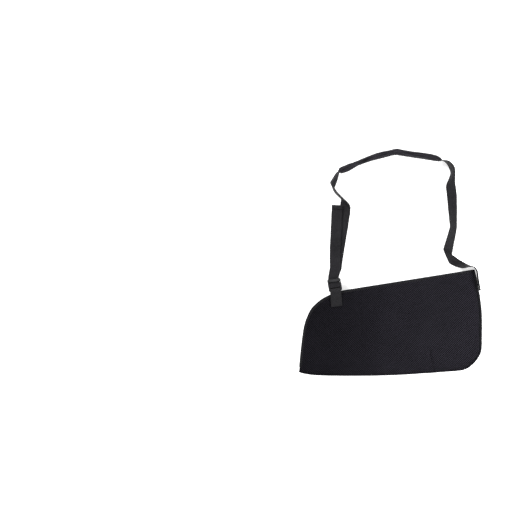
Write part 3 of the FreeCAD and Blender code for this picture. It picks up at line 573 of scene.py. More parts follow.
# edges: tape over both panels' open edges, folded cloth at the bottom, taped elbow seam
mouth_line = np.array([HAND[-1], (ELBOW[0] - 3.0, ELBOW[1] - 0.4)], float)
mf = edge_tape("mouth_tape_front", mouth_line, lambda x, y: front_z(x, y) - 1.2, 2.9, 1.75, 2.6)
hf = edge_tape("hand_tape_front", left_side[3:], lambda x, y: front_z(x, y) - 1.2, 2.9, 1.75, 2.6)
flat = lambda h: (lambda x, y: np.full(len(x), h))
mb = edge_tape("mouth_tape_back", mouth_line, flat(1.9), 2.9, 1.75, 2.6)
hb = edge_tape("hand_tape_back", left_side[3:], flat(1.9), 2.9, 1.75, 2.6)
for ob in (mf, hf):
    finish(ob, M_TAPE); with_mouth(ob)
for ob in (mb, hb):
    finish(ob, M_TAPE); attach(ob, "pouch")
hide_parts("mouth_binding_front"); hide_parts("hand_end_binding_front")
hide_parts("mouth_binding_back"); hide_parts("hand_end_binding_back")

i_seam = int(np.argmin(np.linalg.norm(sewn_line - np.array([103.4, -258.5]), axis=1)))
fold_line = sewn_line[:i_seam + 1]
seam_line = sewn_line[i_seam:]
fold = edge_tape("bottom_fold_cloth", fold_line, flat(4.9), 2.4, 4.7, 2.3, power=2.3)
finish(fold, M_MESH_EDGE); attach(fold, "pouch"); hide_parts("bottom_fold")
i_corner = int(np.argmin(np.linalg.norm(seam_line - np.array([214.4, -199.0]), axis=1)))
seam = edge_tape("elbow_seam_tape", seam_line[i_corner:], flat(5.4), 2.6, 5.3, 2.5, power=3.2)
finish(seam, M_TAPE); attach(seam, "pouch"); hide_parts("elbow_seam_binding")
turned = edge_tape("elbow_corner_cloth", seam_line[:i_corner + 1], flat(5.2), 2.6, 5.1, 2.5, power=2.2)
finish(turned, M_MESH_EDGE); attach(turned, "pouch")

# stitches on those edges
def on_front(line, inset, dz=0.0, count=None):
    pts = resample(line, count or max(30, int(length_of(line) / 2)))
    t, o = plan_normals(pts)
    c = pts - o * inset
    return np.concatenate([c, (front_z(c[:, 0], c[:, 1]) + dz)[:, None]], axis=1)


st = stitches("mouth_stitches", on_front(mouth_line, 4.3, 0.42)); finish(st, M_THREAD); with_mouth(st)
st = stitches("hand_stitches", on_front(left_side[6:], 4.3, 0.42)); finish(st, M_THREAD); with_mouth(st)
st = stitches("elbow_stitches", on_front(seam_line[:-8], 6.6, 0.1)); finish(st, M_THREAD); with_mouth(st)
st = stitches("elbow_stitches_inner", on_front(seam_line[:-14], 9.0, 0.1)); finish(st, M_THREAD); with_mouth(st)
st = stitches("fold_stitches", on_front(fold_line[14:], 7.2, 0.1)); finish(st, M_THREAD); with_mouth(st)

# dart: a narrow raised fold
dp = np.array([(92.5, -200.0), (95.2, -216.0), (98.4, -233.0), (101.6, -249.5)])
dp = resample(catmull(dp), 30)
dz = front_z(dp[:, 0], dp[:, 1])
tt, oo = plan_normals(dp, centre=(300, -230))
taper = np.clip(np.linspace(0.25, 1.6, 30), 0.25, 1)
prof = np.stack([super_ring(1.5 * k, 0.9 * k, 14, 2.4) for k in taper])
dart = sweep("elbow_dart_fold", np.concatenate([dp, (dz + 0.7)[:, None]], axis=1), [(np.array([o[0], o[1], 0]), Z) for o in oo], prof)
finish(dart, M_MESH_EDGE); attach(dart, "pouch"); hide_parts("elbow_dart")


# -------------------------------------------------------------- strap path
def unit(v):
    v = np.asarray(v, float)
    return v / np.linalg.norm(v)


def rot(axis, ang, v):
    axis = unit(axis); v = np.asarray(v, float)
    return v * math.cos(ang) + np.cross(axis, v) * math.sin(ang) + axis * (axis @ v) * (1 - math.cos(ang))


DIAG3 = np.array([DD[0], DD[1], 0.0]); B3 = np.array([B0[0], B0[1], 11.0]); E3 = np.array([E0[0], E0[1], 11.0])
BAR = B3 + rot(DIAG3, TILT, np.array([-130.5, -62.15, 14.5]) - B3)
UU = unit(E3 - BAR)
FN = rot(DIAG3, TILT, Z)
WW = unit(FN - UU * (FN @ UU)); VV = np.cross(WW, UU)
LOCK_DROP = -(math.radians(22.0) + math.asin(VV[2]))
LV = rot(UU, LOCK_DROP, VV); LW = rot(UU, LOCK_DROP, WW)


def in_lock(v, w):
    return BAR + LV * v + LW * w


def hermite(stations, step):
    p = np.array([s[:4] for s in stations], float)
    k = np.concatenate([[0], np.cumsum(np.linalg.norm(np.diff(p[:, :3], axis=0), axis=1))])
    n = len(p)
    m = np.zeros_like(p)
    for i in range(n):
        if i == 0:
            m[i] = (p[1] - p[0]) / (k[1] - k[0])
        elif i == n - 1:
            m[i] = (p[-1] - p[-2]) / (k[-1] - k[-2])
        else:
            h0, h1 = k[i] - k[i - 1], k[i + 1] - k[i]
            m[i] = (p[i] - p[i - 1]) / h0 * (h1 / (h0 + h1)) + (p[i + 1] - p[i]) / h1 * (h0 / (h0 + h1))
    out = []
    for i in range(n - 1):
        h = k[i + 1] - k[i]
        count = max(1, int(round(h / step)))
        for c in range(count):
            s = c / count
            out.append(p[i] * (2 * s ** 3 - 3 * s ** 2 + 1) + m[i] * h * (s ** 3 - 2 * s ** 2 + s)
                       + p[i + 1] * (3 * s ** 2 - 2 * s ** 3) + m[i + 1] * h * (s ** 3 - s ** 2))
    out.append(p[-1])
    return np.array(out)


# Strap beside the tail, flat: centre and the direction in plan.
FLAT_A = [(-127.6, -12.9, 6.6, 9.0), (-123.5, 15.3, 2.4, 8.8), (-118.4, 45.8, 0.85, 8.6), (-112.6, 80.0, 0.85, 8.6),
          (-108.9, 104.5, 0.85, 6.5), (-106.9, 117.5, 0.85, 3.5)]
# Then its two edges in plan, with the low edge's height: the turn, the edge-on run and the loose
# twist below the pad.
TURN_A = [((-118.8, 125.3), (-93.9, 126.7), 0.85), ((-118.1, 135.6), (-93.3, 130.9), 0.85),
          ((-116.7, 143.6), (-95.1, 135.8), 0.85), ((-115.0, 148.3), (-101.4, 142.9), 0.85),
          ((-116.0, 150.4), (-109.2, 149.0), 0.85), ((-119.0, 153.0), (-115.7, 154.9), 0.85),
          ((-126.1, 159.8), (-123.3, 162.4), 0.85), ((-133.1, 167.6), (-130.3, 171.3), 0.85),
          ((-136.7, 174.4), (-133.5, 176.0), 0.85), ((-141.1, 180.7), (-132.4, 178.1), 0.85),
          ((-145.2, 190.1), (-129.8, 185.4), 0.90), ((-140.9, 196.7), (-127.3, 192.5), 1.50),
          ((-132.4, 206.6), (-123.3, 203.7), 3.00), ((-125.4, 214.6), (-120.2, 213.1), 5.00)]
# From the pad to the elbow corner, inner edge first; creases where the strap buckles.
TURN_B = [((118.6, 239.7), (119.1, 241.2), 6.00), ((125.3, 236.9), (130.7, 241.6), 5.50),
          ((131.1, 231.3), (139.5, 239.7), 4.60), ((134.9, 224.9), (146.2, 233.8), 3.80),
          ((137.6, 217.0), (151.5, 224.7), 3.00), ((138.6, 210.5), (152.5, 213.3), 2.20),
          ((135.5, 199.4), (152.2, 200.2), 1.20), ((131.3, 187.8), (152.5, 188.2), 0.90),
          ((130.1, 178.4), (154.8, 178.4), 0.90), ((132.5, 161.0), (156.9, 157.0), 0.90),
          ((134.3, 130.2), (156.6, 130.2), 0.90), ((136.5, 106.7), (156.5, 106.7), 0.90),
          ((138.9, 85.2), (156.5, 81.1), 0.90), ((132.5, 62.8), (152.5, 58.8), 0.90),
          ((126.8, 43.8), (148.7, 39.0), 0.90), ((124.0, 31.3), (145.3, 19.5), 0.90),
          ((131.1, 11.8), (152.0, 15.0), 0.90), ((138.4, -2.5), (160.6, 8.5), 0.90),
          ((152.3, -9.7), (169.4, 3.0), 0.90), ((169.0, -12.8), (179.1, -2.4), 0.90),
          ((183.2, -9.6), (186.8, -6.2), 0.80), ((190.0, -8.1), (190.5, -7.5), 0.70)]
PC = np.array([22.8, 1.4]); PR = 257.6; P_LO, P_HI, PZ = 68.4, 123.0, 19.0


def arc_station(a, z=PZ):
    a = math.radians(a)
    return (PC[0] + PR * math.cos(a), PC[1] + PR * math.sin(a), z, 90.0)


def frames_for(path4, start=None, end=None):
    """path4: x,y,z,lean.  Returns centre points and (W, N) per point."""
    c = path4[:, :3].copy()
    t = np.gradient(c, axis=0)
    t /= np.linalg.norm(t, axis=1)[:, None]
    out = []
    for i in range(len(c)):
        fl = np.array([t[i][1], -t[i][0], 0.0]); fl /= np.linalg.norm(fl)
        a = math.radians(path4[i][3])
        w = fl * math.cos(a) + Z * math.sin(a)
        if start is not None and i < len(start[1]):
            k = start[1][i]
            w = unit(w * (1 - k) + start[0] * k)
        w = unit(w - t[i] * (w @ t[i]))
        nrm = np.cross(t[i], w)
        low = abs(w[2]) * 12.5 + abs(nrm[2]) * 0.8
        if c[i][2] < low + 0.1:
            c[i][2] = low + 0.1
        out.append((w, nrm))
    return c, out


def strap_profile(width=25.0, thick=1.45, count=26):
    """Flat webbing section: fine lengthwise wales and a rounded selvedge."""
    hw = width / 2
    xs = np.linspace(-hw + 0.55, hw - 0.55, count)
    wales = 0.09 * np.cos(2 * np.pi * xs / 2.5)
    top = np.stack([xs, thick / 2 + wales - 0.05], axis=1)
    right = np.array([[hw - 0.16, thick * 0.38], [hw, 0.0], [hw - 0.16, -thick * 0.38]])
    bot = np.stack([xs[::-1], -(thick / 2 + wales[::-1] - 0.05)], axis=1)
    leftp = right[::-1] * np.array([-1, 1])
    return np.concatenate([top, right, bot, leftp])


def webbing(name, c, frames, width=25.0, thick=1.45, cup=None, halfs=None, creases=(), veins=()):
    prof = strap_profile(width, thick)
    run = np.concatenate([[0], np.cumsum(np.linalg.norm(np.diff(c, axis=0), axis=1))])
    verts, weave = [], []
    k = len(prof)
    half = k // 2
    for i in range(len(c)):
        w, nrm = frames[i]
        p = prof.copy()
        # cloth is never dead flat: slight curl across the width, slow along the run
        curl = (0.35 * math.sin(run[i] / 17.0 + 0.5) + 0.25 * math.sin(run[i] / 41.0)) if cup is None else cup(run[i])
        p[:, 1] += curl * ((p[:, 0] / 12.5) ** 2 - 0.35)
        wid = 1.0 + 0.008 * math.sin(run[i] / 5.1) + 0.006 * math.sin(run[i] / 2.3 + 1)
        if halfs is not None:
            wid *= halfs[i] / (width / 2)
        for where, reach, at, depth in veins:         # a crease that runs lengthwise: the section turns into a shallow V
            k_ = math.exp(-(((c[i][0] - where[0]) ** 2 + (c[i][1] - where[1]) ** 2) / reach ** 2) ** 1.5)
            p[:, 1] += k_ * depth * (np.sqrt((p[:, 0] - at) ** 2 + 0.8) / 12.5 - 0.5)
        verts.append(c[i] + np.outer(p[:, 0] * wid, w) + np.outer(p[:, 1], nrm))
        weave.append(np.stack([prof[:, 0] + np.where(prof[:, 1] < 0, 1.25, 0), np.full(k, run[i]), np.zeros(k)], axis=1))
    verts = np.concatenate(verts)
    for a_, b_, depth, wide in creases:               # a crease that runs across, from a_ to b_ in plan
        e = np.array(b_, float) - np.array(a_, float)
        t = np.clip(((verts[:, 0] - a_[0]) * e[0] + (verts[:, 1] - a_[1]) * e[1]) / (e @ e), 0, 1)
        d = np.hypot(verts[:, 0] - a_[0] - t * e[0], verts[:, 1] - a_[1] - t * e[1])
        verts[:, 2] -= depth * np.exp(-(d / wide) ** 2)
    verts[:, 2] = np.maximum(verts[:, 2], 0.06)
    weave = np.concatenate(weave)
    faces = []
    for i in range(len(c) - 1):
        for j in range(k):
            jj = (j + 1) % k
            faces.append((i * k + j, i * k + jj, (i + 1) * k + jj, (i + 1) * k + j))
    faces.append(tuple(range(k))[::-1]); faces.append(tuple((len(c) - 1) * k + j for j in range(k)))
    ob = orient(make(name, verts, faces, weave=weave))
    return ob, float(run[-1])


def soften(p, times=2):
    """Round a polyline's corners a little, keeping its ends."""
    p = p.copy()
    for _ in range(times):
        p[1:-1] = 0.25 * p[:-2] + 0.5 * p[1:-1] + 0.25 * p[2:]
    return p


def edge_run(pairs, step=2.0, times=3):
    """pairs: (n, 2, 3) edge points of a strap.  Returns centres, width vectors and half widths."""
    pairs = np.asarray(pairs, float)
    out = []
    for a, b in zip(pairs[:-1], pairs[1:]):
        k = max(1, int(round(np.linalg.norm((b - a).mean(axis=0)) / step)))
        for q in range(k):
            out.append(a + (b - a) * q / k)
    out.append(pairs[-1])
    out = soften(np.array(out), times)
    c = out.mean(axis=1)
    w = out[:, 1] - out[:, 0]
    h = np.linalg.norm(w, axis=1)
    return c, w / h[:, None], np.clip(h / 2, 11.6, 13.4)


def stand(rows, upper):
    """Edge pairs in plan to edge pairs in space: the strap's own width sets how high its upper edge stands."""
    out = []
    for (ax, ay), (bx, by), low in rows:
        rise = math.sqrt(max(0.0, 25.0 ** 2 - (ax - bx) ** 2 - (ay - by) ** 2))
        za, zb = (low + rise, low) if upper == 0 else (low, low + rise)
        out.append(((ax, ay, za), (bx, by, zb)))
    return out


# the pad's middle line in plan: two easy curves that meet in a slight kink over the top
PAD_LINE = [(-122.6, 215.0), (-115.0, 217.6), (-106.0, 220.8), (-92.0, 226.8), (-77.7, 233.6), (-63.6, 239.3), (-42.0, 247.2),
            (-21.0, 253.2), (0.0, 257.8), (12.5, 260.2), (27.0, 258.0), (49.0, 254.6), (77.0, 251.0), (97.0, 247.6),
            (109.0, 244.6), (118.3, 240.8)]
pad_mid = resample(catmull(PAD_LINE), 401)
pad_len = length_of(pad_mid)


def pad_at(f):
    """Point, tangent and outward normal of the pad's middle line at fraction f from the hand side."""
    f = min(max(f, 0.0), 1.0)
    q = f * 400
    p = np.array([np.interp(q, np.arange(401), pad_mid[:, k]) for k in range(2)])
    a, b = pad_mid[max(0, int(q) - 3)], pad_mid[min(400, int(q) + 4)]
    t = (b - a) / np.linalg.norm(b - a)
    return np.array([p[0], p[1], 0.0]), np.array([t[0], t[1], 0.0]), np.array([-t[1], t[0], 0.0])


SLOT_R = 256.6


def slot_at(f):
    """Middle of the sleeve's slot: a circle about the slide axis, met by the sleeve's own line at its ends."""
    p, t, o = pad_at(f)
    e = min(f, 1 - f) * pad_len / 13.0
    e = min(1.0, max(0.0, e)); e = e * e * (3 - 2 * e)
    d = p[:2] - PC
    q = PC + d / np.linalg.norm(d) * SLOT_R
    out = np.array([d[0], d[1], 0.0]) / np.linalg.norm(d)
    return np.array([p[0] * (1 - e) + q[0] * e, p[1] * (1 - e) + q[1] * e, 0.0]), t, unit(o * (1 - e) + out * e)


def inside_pad(f, first_up):
    p, t, o = slot_at(f)
    lo, hi = p + Z * (PZ - 12.5), p + Z * (PZ + 12.5)
    return (hi, lo) if first_up else (lo, hi)


def flat_pair(x, y, z, heading):
    a = math.radians(heading)
    w = np.array([math.cos(a), -math.sin(a), 0.0]) * 12.5
    c = np.array([x, y, z])
    return (c - w, c + w)


# One strap: out of the pad, down to the lock, round its middle bar and out again as the running tail.
start_load = in_lock(31.0, -3.45)
pairs_a = [(start_load - UU * 12.5, start_load + UU * 12.5)]
pairs_a += [flat_pair(*q) for q in FLAT_A] + stand(TURN_A, 1) + [inside_pad(f, False) for f in (0.01, 0.03, 0.06, 0.12, 0.2, 0.3, 0.4, 0.455)]
ca, wa_, ha = edge_run(pairs_a, step=1.6, times=4)
bend = [(26.0, -3.45), (20.0, -3.45), (14.0, -3.45), (10.5, -3.45), (8.6, -3.45)]
for a in np.linspace(-108, -252, 9):
    bend.append((8.6 + 3.82 * math.cos(math.radians(a)), -0.3 + 3.15 * math.sin(math.radians(a))))
bend += [(9.6, 2.86), (11.0, 2.86), (12.6, 2.84), (13.8, 2.55), (14.8, 2.0), (16.4, 0.75), (18.2, -0.75), (19.4, -1.4),
         (20.6, -1.6), (23.0, -1.6), (26.0, -1.6), (29.0, -1.6)]
cl = np.array([in_lock(v, w) for v, w in bend])
TA = np.array([-129.9, 38.2, 4.5]); TB = np.array([-125.4, 136.2, 5.5]); TD = unit(TB - TA)
start_tail = in_lock(31.0, -1.6)
tail_pts = hermite([(*start_tail, 0), (-130.6, -12.9, 9.1, 0), (-130.4, 15.3, 5.6, 0), (*(TA - TD * 4), 0), (*(TA + TD * 3.0), 0)], 3.0)
blend_w = np.clip(1 - np.arange(12) / 11.0, 0, 1)
ct, ft = frames_for(tail_pts, start=(UU, blend_w ** 0.6))
seq_c = np.concatenate([ca[::-1], cl, ct])
seq_w = list(wa_[::-1]) + [UU] * len(cl) + [w for w, _ in ft]
seq_h = list(ha[::-1]) + [12.9] * len(cl) + [12.5] * len(ct)
tans = np.gradient(seq_c, axis=0)
tans /= np.linalg.norm(tans, axis=1)[:, None]
seq_f = []
for i in range(len(seq_c)):
    nrm = unit(np.cross(tans[i], seq_w[i]))
    if seq_f and nrm @ seq_f[-1][1] < -0.2:
        nrm = -nrm
    seq_f.append((seq_w[i], nrm))
main_strap, len_a = webbing("shoulder_strap_lock_side", seq_c, seq_f, halfs=seq_h,
                            cup=lambda d: 0.0 if d > 430 else 0.25 * math.sin(d / 17.0),
                            creases=[((-120.0, 133.0), (-92.0, 131.0), 0.8, 2.0)],
                            veins=[((-135.5, 190.0), 15.0, 2.5, -5.5), ((-104.0, 140.0), 12.0, 2.0, 2.0)])
finish(main_strap, M_WEB)
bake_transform(main_strap)
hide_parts("shoulder_strap", "strap_wrap", "tail_lower")

# Elbow side of the strap, from inside the pad to the elbow corner.
pairs_b = [inside_pad(f, True) for f in (0.47, 0.55, 0.65, 0.75, 0.85, 0.93, 0.975)] + stand(TURN_B, 0)
cb_, wb_, hb_ = edge_run(pairs_b, step=1.4, times=4)
tans = np.gradient(cb_, axis=0)
tans /= np.linalg.norm(tans, axis=1)[:, None]
fb_ = []
for i in range(len(cb_)):
    nrm = unit(np.cross(tans[i], wb_[i]))
    if fb_ and nrm @ fb_[-1][1] < -0.2:
        nrm = -nrm
    fb_.append((wb_[i], nrm))
elbow_strap, len_b = webbing("shoulder_strap_elbow_side", cb_, fb_, halfs=hb_,
                             creases=[((124.0, 31.5), (146.5, 19.5), 3.4, 2.2), ((134.0, 84.5), (157.0, 79.5), 1.1, 1.6),
                                      ((131.0, 199.0), (153.0, 202.0), 0.9, 2.0), ((139.0, 158.0), (156.0, 138.0), 0.6, 2.5)],
                             veins=[((146.0, 206.0), 20.0, 2.0, 3.0), ((144.0, 120.0), 30.0, -2.0, 1.6), ((150.0, 2.0), 16.0, 1.0, 2.4)])
finish(elbow_strap, M_WEB)
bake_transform(elbow_strap)

# Sewn root end: on edge round the corner, then flat against the elbow seam.
sewn = hermite([(187.0, -7.2, 12.9, 90), (191.1, -8.3, 12.8, 90), (196.4, -9.8, 12.6, 90), (199.9, -13.6, 12.6, 90), (205.4, -38.8, 12.6, 90), (209.9, -64.6, 12.6, 90)], 2.2)
cs, fs = frames_for(sewn)
root_end, len_r = webbing("strap_root_end", cs, fs, width=24.6, cup=lambda s: 0.0)
finish(root_end, M_WEB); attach(root_end, "pouch"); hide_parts("strap_sewn_end")
# bar tacks: dense zigzag threads on the outside of that end
tv, tf = [], []
out_dir = unit(np.array([0.985, 0.172, 0.0]))
for f in (0.10, 0.5, 0.9):
    base = np.array([205.4 + 4.5 * f, -38.8 - 25.8 * f, 0.0]) + out_dir * 0.95
    along = unit(np.array([4.5, -25.8, 0.0]))
    zz = []
    for k in range(30):
        zz.append(base + along * (0.9 if k % 2 else -0.9) + Z * (3.6 + k * 0.62))
    zz = np.array(zz)
    st = stitches("bar_tack_%d" % int(f * 10), zz, pitch=1.9, length=1.75, radius=0.3, up=out_dir, lift=0.05, seg=5)
    finish(st, M_THREAD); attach(st, "pouch")
    if f < 0.2:
        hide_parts("elbow_anchor_stitching")

# ------------------------------------------------------------------- tail
tail_len = float(np.linalg.norm(TB - TA))
tw = unit(np.array([TD[1], -TD[0], 0.0])); tn = np.cross(tw, TD)
m = 40
s_ = np.linspace(1.0, tail_len - 9.5, m)
tc = np.array([TA + TD * s for s in s_])
tc[:, 2] += 0.25 * np.sin(s_ / 13.0) * np.sin(np.pi * s_ / tail_len)
tfr = [(tw, tn)] * m
tail_up, len_t = webbing("tail_running_end", tc, tfr, cup=lambda s: 0.5 * math.sin(s / 26.0))
finish(tail_up, M_WEB)
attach(tail_up, "strap_loop")
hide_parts("tail_upper")
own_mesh(tail_up)
# hem: the end folded back on itself, a rounded fold at the free end
hl = 10.5
prof_path = []
for s in np.linspace(0, hl - 1.6, 6):
    prof_path.append((s, 0.0))
for a in np.linspace(-80, 80, 7):
    prof_path.append((hl - 1.5 + 0.8 * math.cos(math.radians(a)), 0.78 + 0.78 * math.sin(math.radians(a))))
for s in np.linspace(hl - 1.9, 0.6, 6):
    prof_path.append((s, 1.56))
hc = np.array([TA + TD * (tail_len - hl + s) + tn * h for s, h in prof_path])
ht = np.gradient(hc, axis=0); ht /= np.linalg.norm(ht, axis=1)[:, None]
hfr = [(tw, np.cross(tw, t)) for t in ht]
hem, len_h = webbing("tail_hem", hc, hfr, cup=lambda s: 0.0, thick=1.4)
finish(hem, M_WEB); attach(hem, "tail_end"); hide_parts("tail_end_hem")
for k, at in enumerate((2.2, 4.6)):
    a = TA + TD * (tail_len - hl + at) - tw * 11.3 + tn * 2.32
    b = TA + TD * (tail_len - hl + at) + tw * 11.3 + tn * 2.32
    st = stitches("hem_stitches_%d" % k, np.array([a, b]), pitch=2.7, length=2.0, radius=0.28, up=tn)
    finish(st, M_THREAD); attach(st, "tail_end")
    if k == 0:
        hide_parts("tail_hem_stitching")

# -------------------------------------------------------------------- tab
def in_tab(u, v, w):
    return BAR + UU * u + VV * v + WW * w


skew = 2.2 / 40.0
tp = []
for v in np.linspace(-39.5, -1.0, 16):
    tp.append((v, -2.62))
for a in np.linspace(-78, 96, 11):
    tp.append((3.25 * math.cos(math.radians(a)), 2.75 * math.sin(math.radians(a))))
tp += [(-3.0, 2.15), (-6.0, 1.0), (-9.0, -0.35), (-11.5, -1.0), (-14.0, -1.12)]
for v in np.linspace(-18, -39.5, 9):
    tp.append((v, -1.12))
tcn = np.array([in_tab(-max(0.0, -v) * skew, v, w) for v, w in tp])
ttn = np.gradient(tcn, axis=0); ttn /= np.linalg.norm(ttn, axis=1)[:, None]
tfm = [(UU, np.cross(UU, t)) for t in ttn]
tab, len_tab = webbing("tab_loop", tcn, tfm, width=26.0, cup=lambda s: 0.0, thick=1.35)
finish(tab, M_TAB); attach(tab, "mouth_flap"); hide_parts("tab_webbing")


def tab_row(name, p, q):
    pts = np.array([in_tab(p[0] - max(0.0, -p[1]) * skew, p[1], -0.42), in_tab(q[0] - max(0.0, -q[1]) * skew, q[1], -0.42)])
    st = stitches(name, pts, pitch=2.7, length=2.0, radius=0.30, up=WW)
    finish(st, M_THREAD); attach(st, "mouth_flap")
    return st


rows = [((-9.8, -18.5), (9.8, -18.5)), ((-9.8, -37.2), (9.8, -37.2)), ((-9.8, -18.5), (-9.8, -37.2)), ((9.8, -18.5), (9.8, -37.2)),
        ((-9.2, -19.1), (9.2, -36.6)), ((9.2, -19.1), (-9.2, -36.6))]
for k, (p, q) in enumerate(rows):
    st = tab_row("tab_stitches_%d" % k, p, q)
    if k == 0:
        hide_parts("tab_stitching")

# ----------------------------------------------------------- ladder lock
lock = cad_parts["ladder_lock"]
lock.data.materials.clear(); lock.data.materials.append(M_LOCK)

# --------------------------------------------------------------- neck pad
PADN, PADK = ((340, 96))
HALF_X = [-122.6, -121.0, -118.5, -114.0, -106.0, -97.0, -92.0, -85.0, -77.7, -63.6, -49.5, -35.0, -21.0, 0.0, 12.5, 28.0, 49.0, 77.0,
          92.0, 104.0, 110.0, 114.5, 117.2, 118.3]
HALF_W = [2.6, 4.3, 6.3, 7.6, 8.0, 7.9, 7.4, 6.4, 5.9, 6.1, 6.7, 7.2, 7.3, 7.1, 7.7, 7.1, 7.0, 7.3, 7.6, 7.0, 5.8, 4.2, 2.9, 2.2]


def soft_noise(u, v, seed):
    r = np.random.default_rng(seed)
    z = 0
    for k in range(7):
        fu, fv = r.uniform(0.5, 5.0), r.integers(1, 6)
        z = z + r.uniform(0.4, 1.0) * np.sin(2 * np.pi * (fu * u + r.uniform()) + fv * v + r.uniform(0, 6.28)) / (1 + 0.25 * k)
    return z / 3.0


fr = np.linspace(0, 1, PADN)
tt = np.linspace(0, 2 * np.pi, PADK, endpoint=False)
ct_, st_ = np.cos(tt), np.sin(tt)
top = np.clip((st_ - 0.15) / 0.6, 0, 1) ** 2 * (3 - 2 * np.clip((st_ - 0.15) / 0.6, 0, 1))
pv, pw_ = [], []
for f in fr:
    cen, tang, rad = pad_at(f)
    wh = float(np.interp(cen[0], HALF_X, HALF_W))
    endp = min(f, 1 - f) * pad_len
    hh = 18.7 - 4.4 * math.exp(-(endp / 5.0) ** 1.3)
    calm = min(1.0, endp / 9.0)
    rr = np.sign(ct_) * np.abs(ct_) ** 0.84 * wh
    zz = np.sign(st_) * np.abs(st_) ** 0.70 * hh
    # the sleeve's cloth is loose round its foam: long wrinkles along it, and short ones across it where it bends
    wr = 0.50 * soft_noise(np.full(PADK, f * 1.4), tt, 3) + 0.30 * np.sin(3 * tt + 5 * f) * math.sin(2 * math.pi * f * 1.3 + 0.6)
    across = 0.0
    for f0, wd, amp in ((0.055, 0.012, 0.7), (0.125, 0.009, 0.9), (0.150, 0.008, 1.0), (0.176, 0.009, 0.9), (0.205, 0.010, 0.6),
                        (0.330, 0.014, 0.4), (0.530, 0.010, 0.7), (0.558, 0.008, 1.1), (0.590, 0.010, 0.8), (0.74, 0.014, 0.45), (0.915, 0.012, 0.7)):
        skew_f = f0 + 0.0011 * rr
        across = across + amp * np.exp(-((f - skew_f) / wd) ** 2)
    wr = (wr - across * (0.55 + 0.45 * np.cos(tt - 2.2)) * 0.7) * calm
    ph = 2 * np.pi * (2.6 * f + 0.22 * math.sin(2 * math.pi * 2.3 * f)) + 1.1 * math.sin(9.0 * f)
    long_ = 0.60 * np.sin(2 * np.pi * rr / 4.6 + ph) + 0.34 * np.sin(2 * np.pi * rr / 2.9 - 1.4 * ph + 0.8)
    rr2 = rr + wr * ct_
    zz2 = zz + wr * st_ * 0.7 + top * long_ * calm - top * across * 0.35 * calm
    ring = cen + np.outer(rr2, rad) + np.outer(zz2 + PZ, Z)
    ring[:, 2] = np.clip(ring[:, 2], 0.15 + 0.4 * np.abs(rr / max(wh, 1)) ** 2, 38.0)
    pv.append(ring)
    per = np.concatenate([[0], np.cumsum(np.hypot(np.diff(rr2), np.diff(zz2)))])
    pw_.append(np.stack([per, np.full(PADK, f * pad_len), np.zeros(PADK)], axis=1))
pv = np.array(pv)
verts = [pv.reshape(-1, 3)]
weave = [np.concatenate(pw_)]
faces = []
for i in range(PADN - 1):
    for j in range(PADK):
        jj = (j + 1) % PADK
        faces.append((i * PADK + j, i * PADK + jj, (i + 1) * PADK + jj, (i + 1) * PADK + j))
count = PADN * PADK
slot_r = np.sign(ct_) * np.abs(ct_) ** 0.5 * 1.7
slot_z = np.sign(st_) * np.abs(st_) ** 0.35 * 13.5


def slot_ring(f):
    cen, tang, rad = slot_at(f)
    return cen + np.outer(slot_r, rad) + np.outer(slot_z + PZ, Z)


def add_ring(ring, prev, tag):
    """Join one more ring of the sleeve's lining to the ring before it."""
    global count
    verts.append(ring); weave.append(np.stack([tt * 12, np.full(PADK, tag), np.zeros(PADK)], axis=1))
    for j in range(PADK):
        jj = (j + 1) % PADK
        faces.append((prev + j, prev + jj, count + jj, count + j))
    count += PADK
    return count - PADK


def rolled_end(f_end, sign, base):
    rim = pv[0] if sign > 0 else pv[-1]
    prev = base
    for k, (df, mix) in enumerate(((-0.0016, 0.2), (-0.0024, 0.5), (-0.0012, 0.8), (0.004, 1.0), (0.012, 1.0), (0.024, 1.0))):
        cen, tang, rad = pad_at(f_end)
        ring = rim * (1 - mix) + slot_ring(f_end + sign * max(df, 0)) * mix + tang * sign * min(df, 0) * pad_len
        prev = add_ring(ring, prev, k * 1.5)
    return prev


e1 = rolled_end(0.0, 1, 0)
e2 = rolled_end(1.0, -1, (PADN - 1) * PADK)
prev = e1
for k in range(1, 40):
    prev = add_ring(slot_ring(0.024 + (1 - 0.048) * k / 40), prev, k * 6.0)
for j in range(PADK):
    jj = (j + 1) % PADK
    faces.append((prev + j, prev + jj, e2 + jj, e2 + j))
pad = orient(make("neck_pad_sleeve", np.concatenate(verts), faces, weave=np.concatenate(weave)))
finish(pad, M_PAD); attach(pad, "neck_pad")
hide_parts("pad_cover", "pad_foam", "pad_lining")


def end_band(name, i0, node):
    """Narrow turned hem round the sleeve's end, following the sleeve's own section."""
    ring_c, ring_n = pv[i0], pv[min(i0 + 3, PADN - 1)]
    ring_p = pv[max(i0 - 3, 0)]
    ctr = ring_c.mean(axis=0)
    prof = super_ring(1.7, 0.42, 12, 2.4)
    verts, faces, wv = [], [], []
    for j in range(PADK):
        p, q, o = ring_c[j], ring_c[(j + 1) % PADK], ring_c[j - 1]
        tang = unit(ring_n[j] - ring_p[j])
        nr = unit(np.cross(tang, unit(q - o)))
        if nr @ (p - ctr) < 0:
            nr = -nr
        for k, (a, b) in enumerate(prof):
            verts.append(p + tang * a + nr * (b + 0.10)); wv.append((k * 1.0, j * 1.2, 0))
    verts = np.array(verts)
    verts[:, 2] = np.clip(verts[:, 2], 0.05, 38.4)
    m_ = len(prof)
    for j in range(PADK):
        jj = (j + 1) % PADK
        for k in range(m_):
            kk = (k + 1) % m_
            faces.append((j * m_ + k, j * m_ + kk, jj * m_ + kk, jj * m_ + k))
    ob = orient(make(name, verts, faces, weave=np.array(wv)))
    finish(ob, M_PAD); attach(ob, "neck_pad"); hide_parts(node)
    return ob


end_band("pad_hem_left", max(3, int(0.020 * PADN)), "pad_end_binding_left")
end_band("pad_hem_right", PADN - 1 - max(3, int(0.020 * PADN)), "pad_end_binding_right")
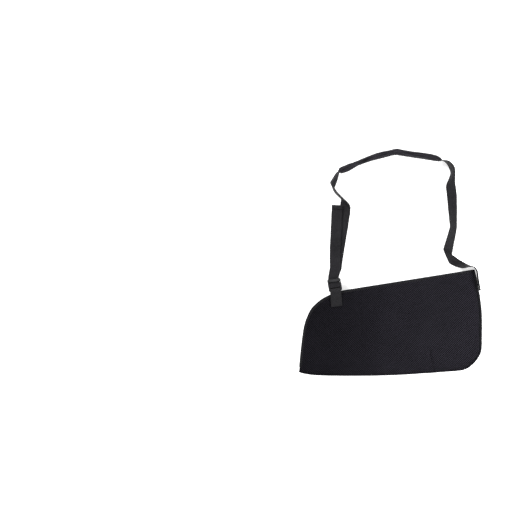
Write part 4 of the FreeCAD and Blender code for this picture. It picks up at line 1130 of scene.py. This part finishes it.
# the sleeve's closing seam, low on the inside of the arc
j_seam = int(PADK * 0.585)
seam_pts = pv[8:-8, j_seam]
inward = -np.array([pad_at(f)[2] for f in fr[8:-8]])
st = stitches("pad_seam_stitches", seam_pts + inward * 0.12, pitch=3.4, length=2.4, radius=0.33, up=unit(inward[len(inward) // 2]), lift=0.12)
finish(st, M_THREAD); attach(st, "neck_pad"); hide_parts("pad_seam_stitching")

# ------------------------------------------------------ stage, light, view
import bmesh
fm = bpy.data.meshes.new("floor")
S = 3.0
fm.from_pydata([(-S, -S, -0.0004), (S, -S, -0.0004), (S, S, -0.0004), (-S, S, -0.0004)], [], [(0, 1, 2, 3)])
floor = bpy.data.objects.new("floor", fm)
bpy.context.scene.collection.objects.link(floor)
fmat, fnt, fb = nodes_of("floor_paper")
fb.inputs["Base Color"].default_value = (0.93, 0.93, 0.93, 1)
fb.inputs["Roughness"].default_value = 0.9
fb.inputs["Specular IOR Level"].default_value = 0.0
fb.inputs["Emission Color"].default_value = (1, 1, 1, 1)      # a lit table: it keeps the shadows pale
fb.inputs["Emission Strength"].default_value = 0.66
fm.materials.append(fmat)

world = bpy.data.worlds.new("studio"); bpy.context.scene.world = world
world.use_nodes = True
world.node_tree.nodes["Background"].inputs["Color"].default_value = (1, 1, 1, 1)
world.node_tree.nodes["Background"].inputs["Strength"].default_value = 0.42


def area_light(name, loc, target, size, power):
    ld = bpy.data.lights.new(name, "AREA"); ld.shape = "DISK"; ld.size = size; ld.energy = power
    ob = bpy.data.objects.new(name, ld); bpy.context.scene.collection.objects.link(ob)
    ob.location = loc
    ob.rotation_euler = (Vector(target) - Vector(loc)).to_track_quat("-Z", "Y").to_euler()
    return ob


area_light("key", (-3.0, 2.1, 3.0), (0.0, 0.0, 0), 1.7, 265)
area_light("fill", (0.78, -0.48, 0.66), (0.12, -0.12, 0), 0.5, 17)

cam = bpy.data.cameras.new("camera"); cam_ob = bpy.data.objects.new("camera", cam)
bpy.context.scene.collection.objects.link(cam_ob)
cam.lens = 135.0; cam.sensor_width = 36.0; cam.clip_end = 50
cx, cy = -0.3066, 0.0063
cam_ob.location = (cx, cy, 1.222 * 135.0 / 36.0 + 0.010)
cam_ob.rotation_euler = (0, 0, 0)
bpy.context.scene.camera = cam_ob
bpy.context.scene.view_settings.view_transform = "Standard"
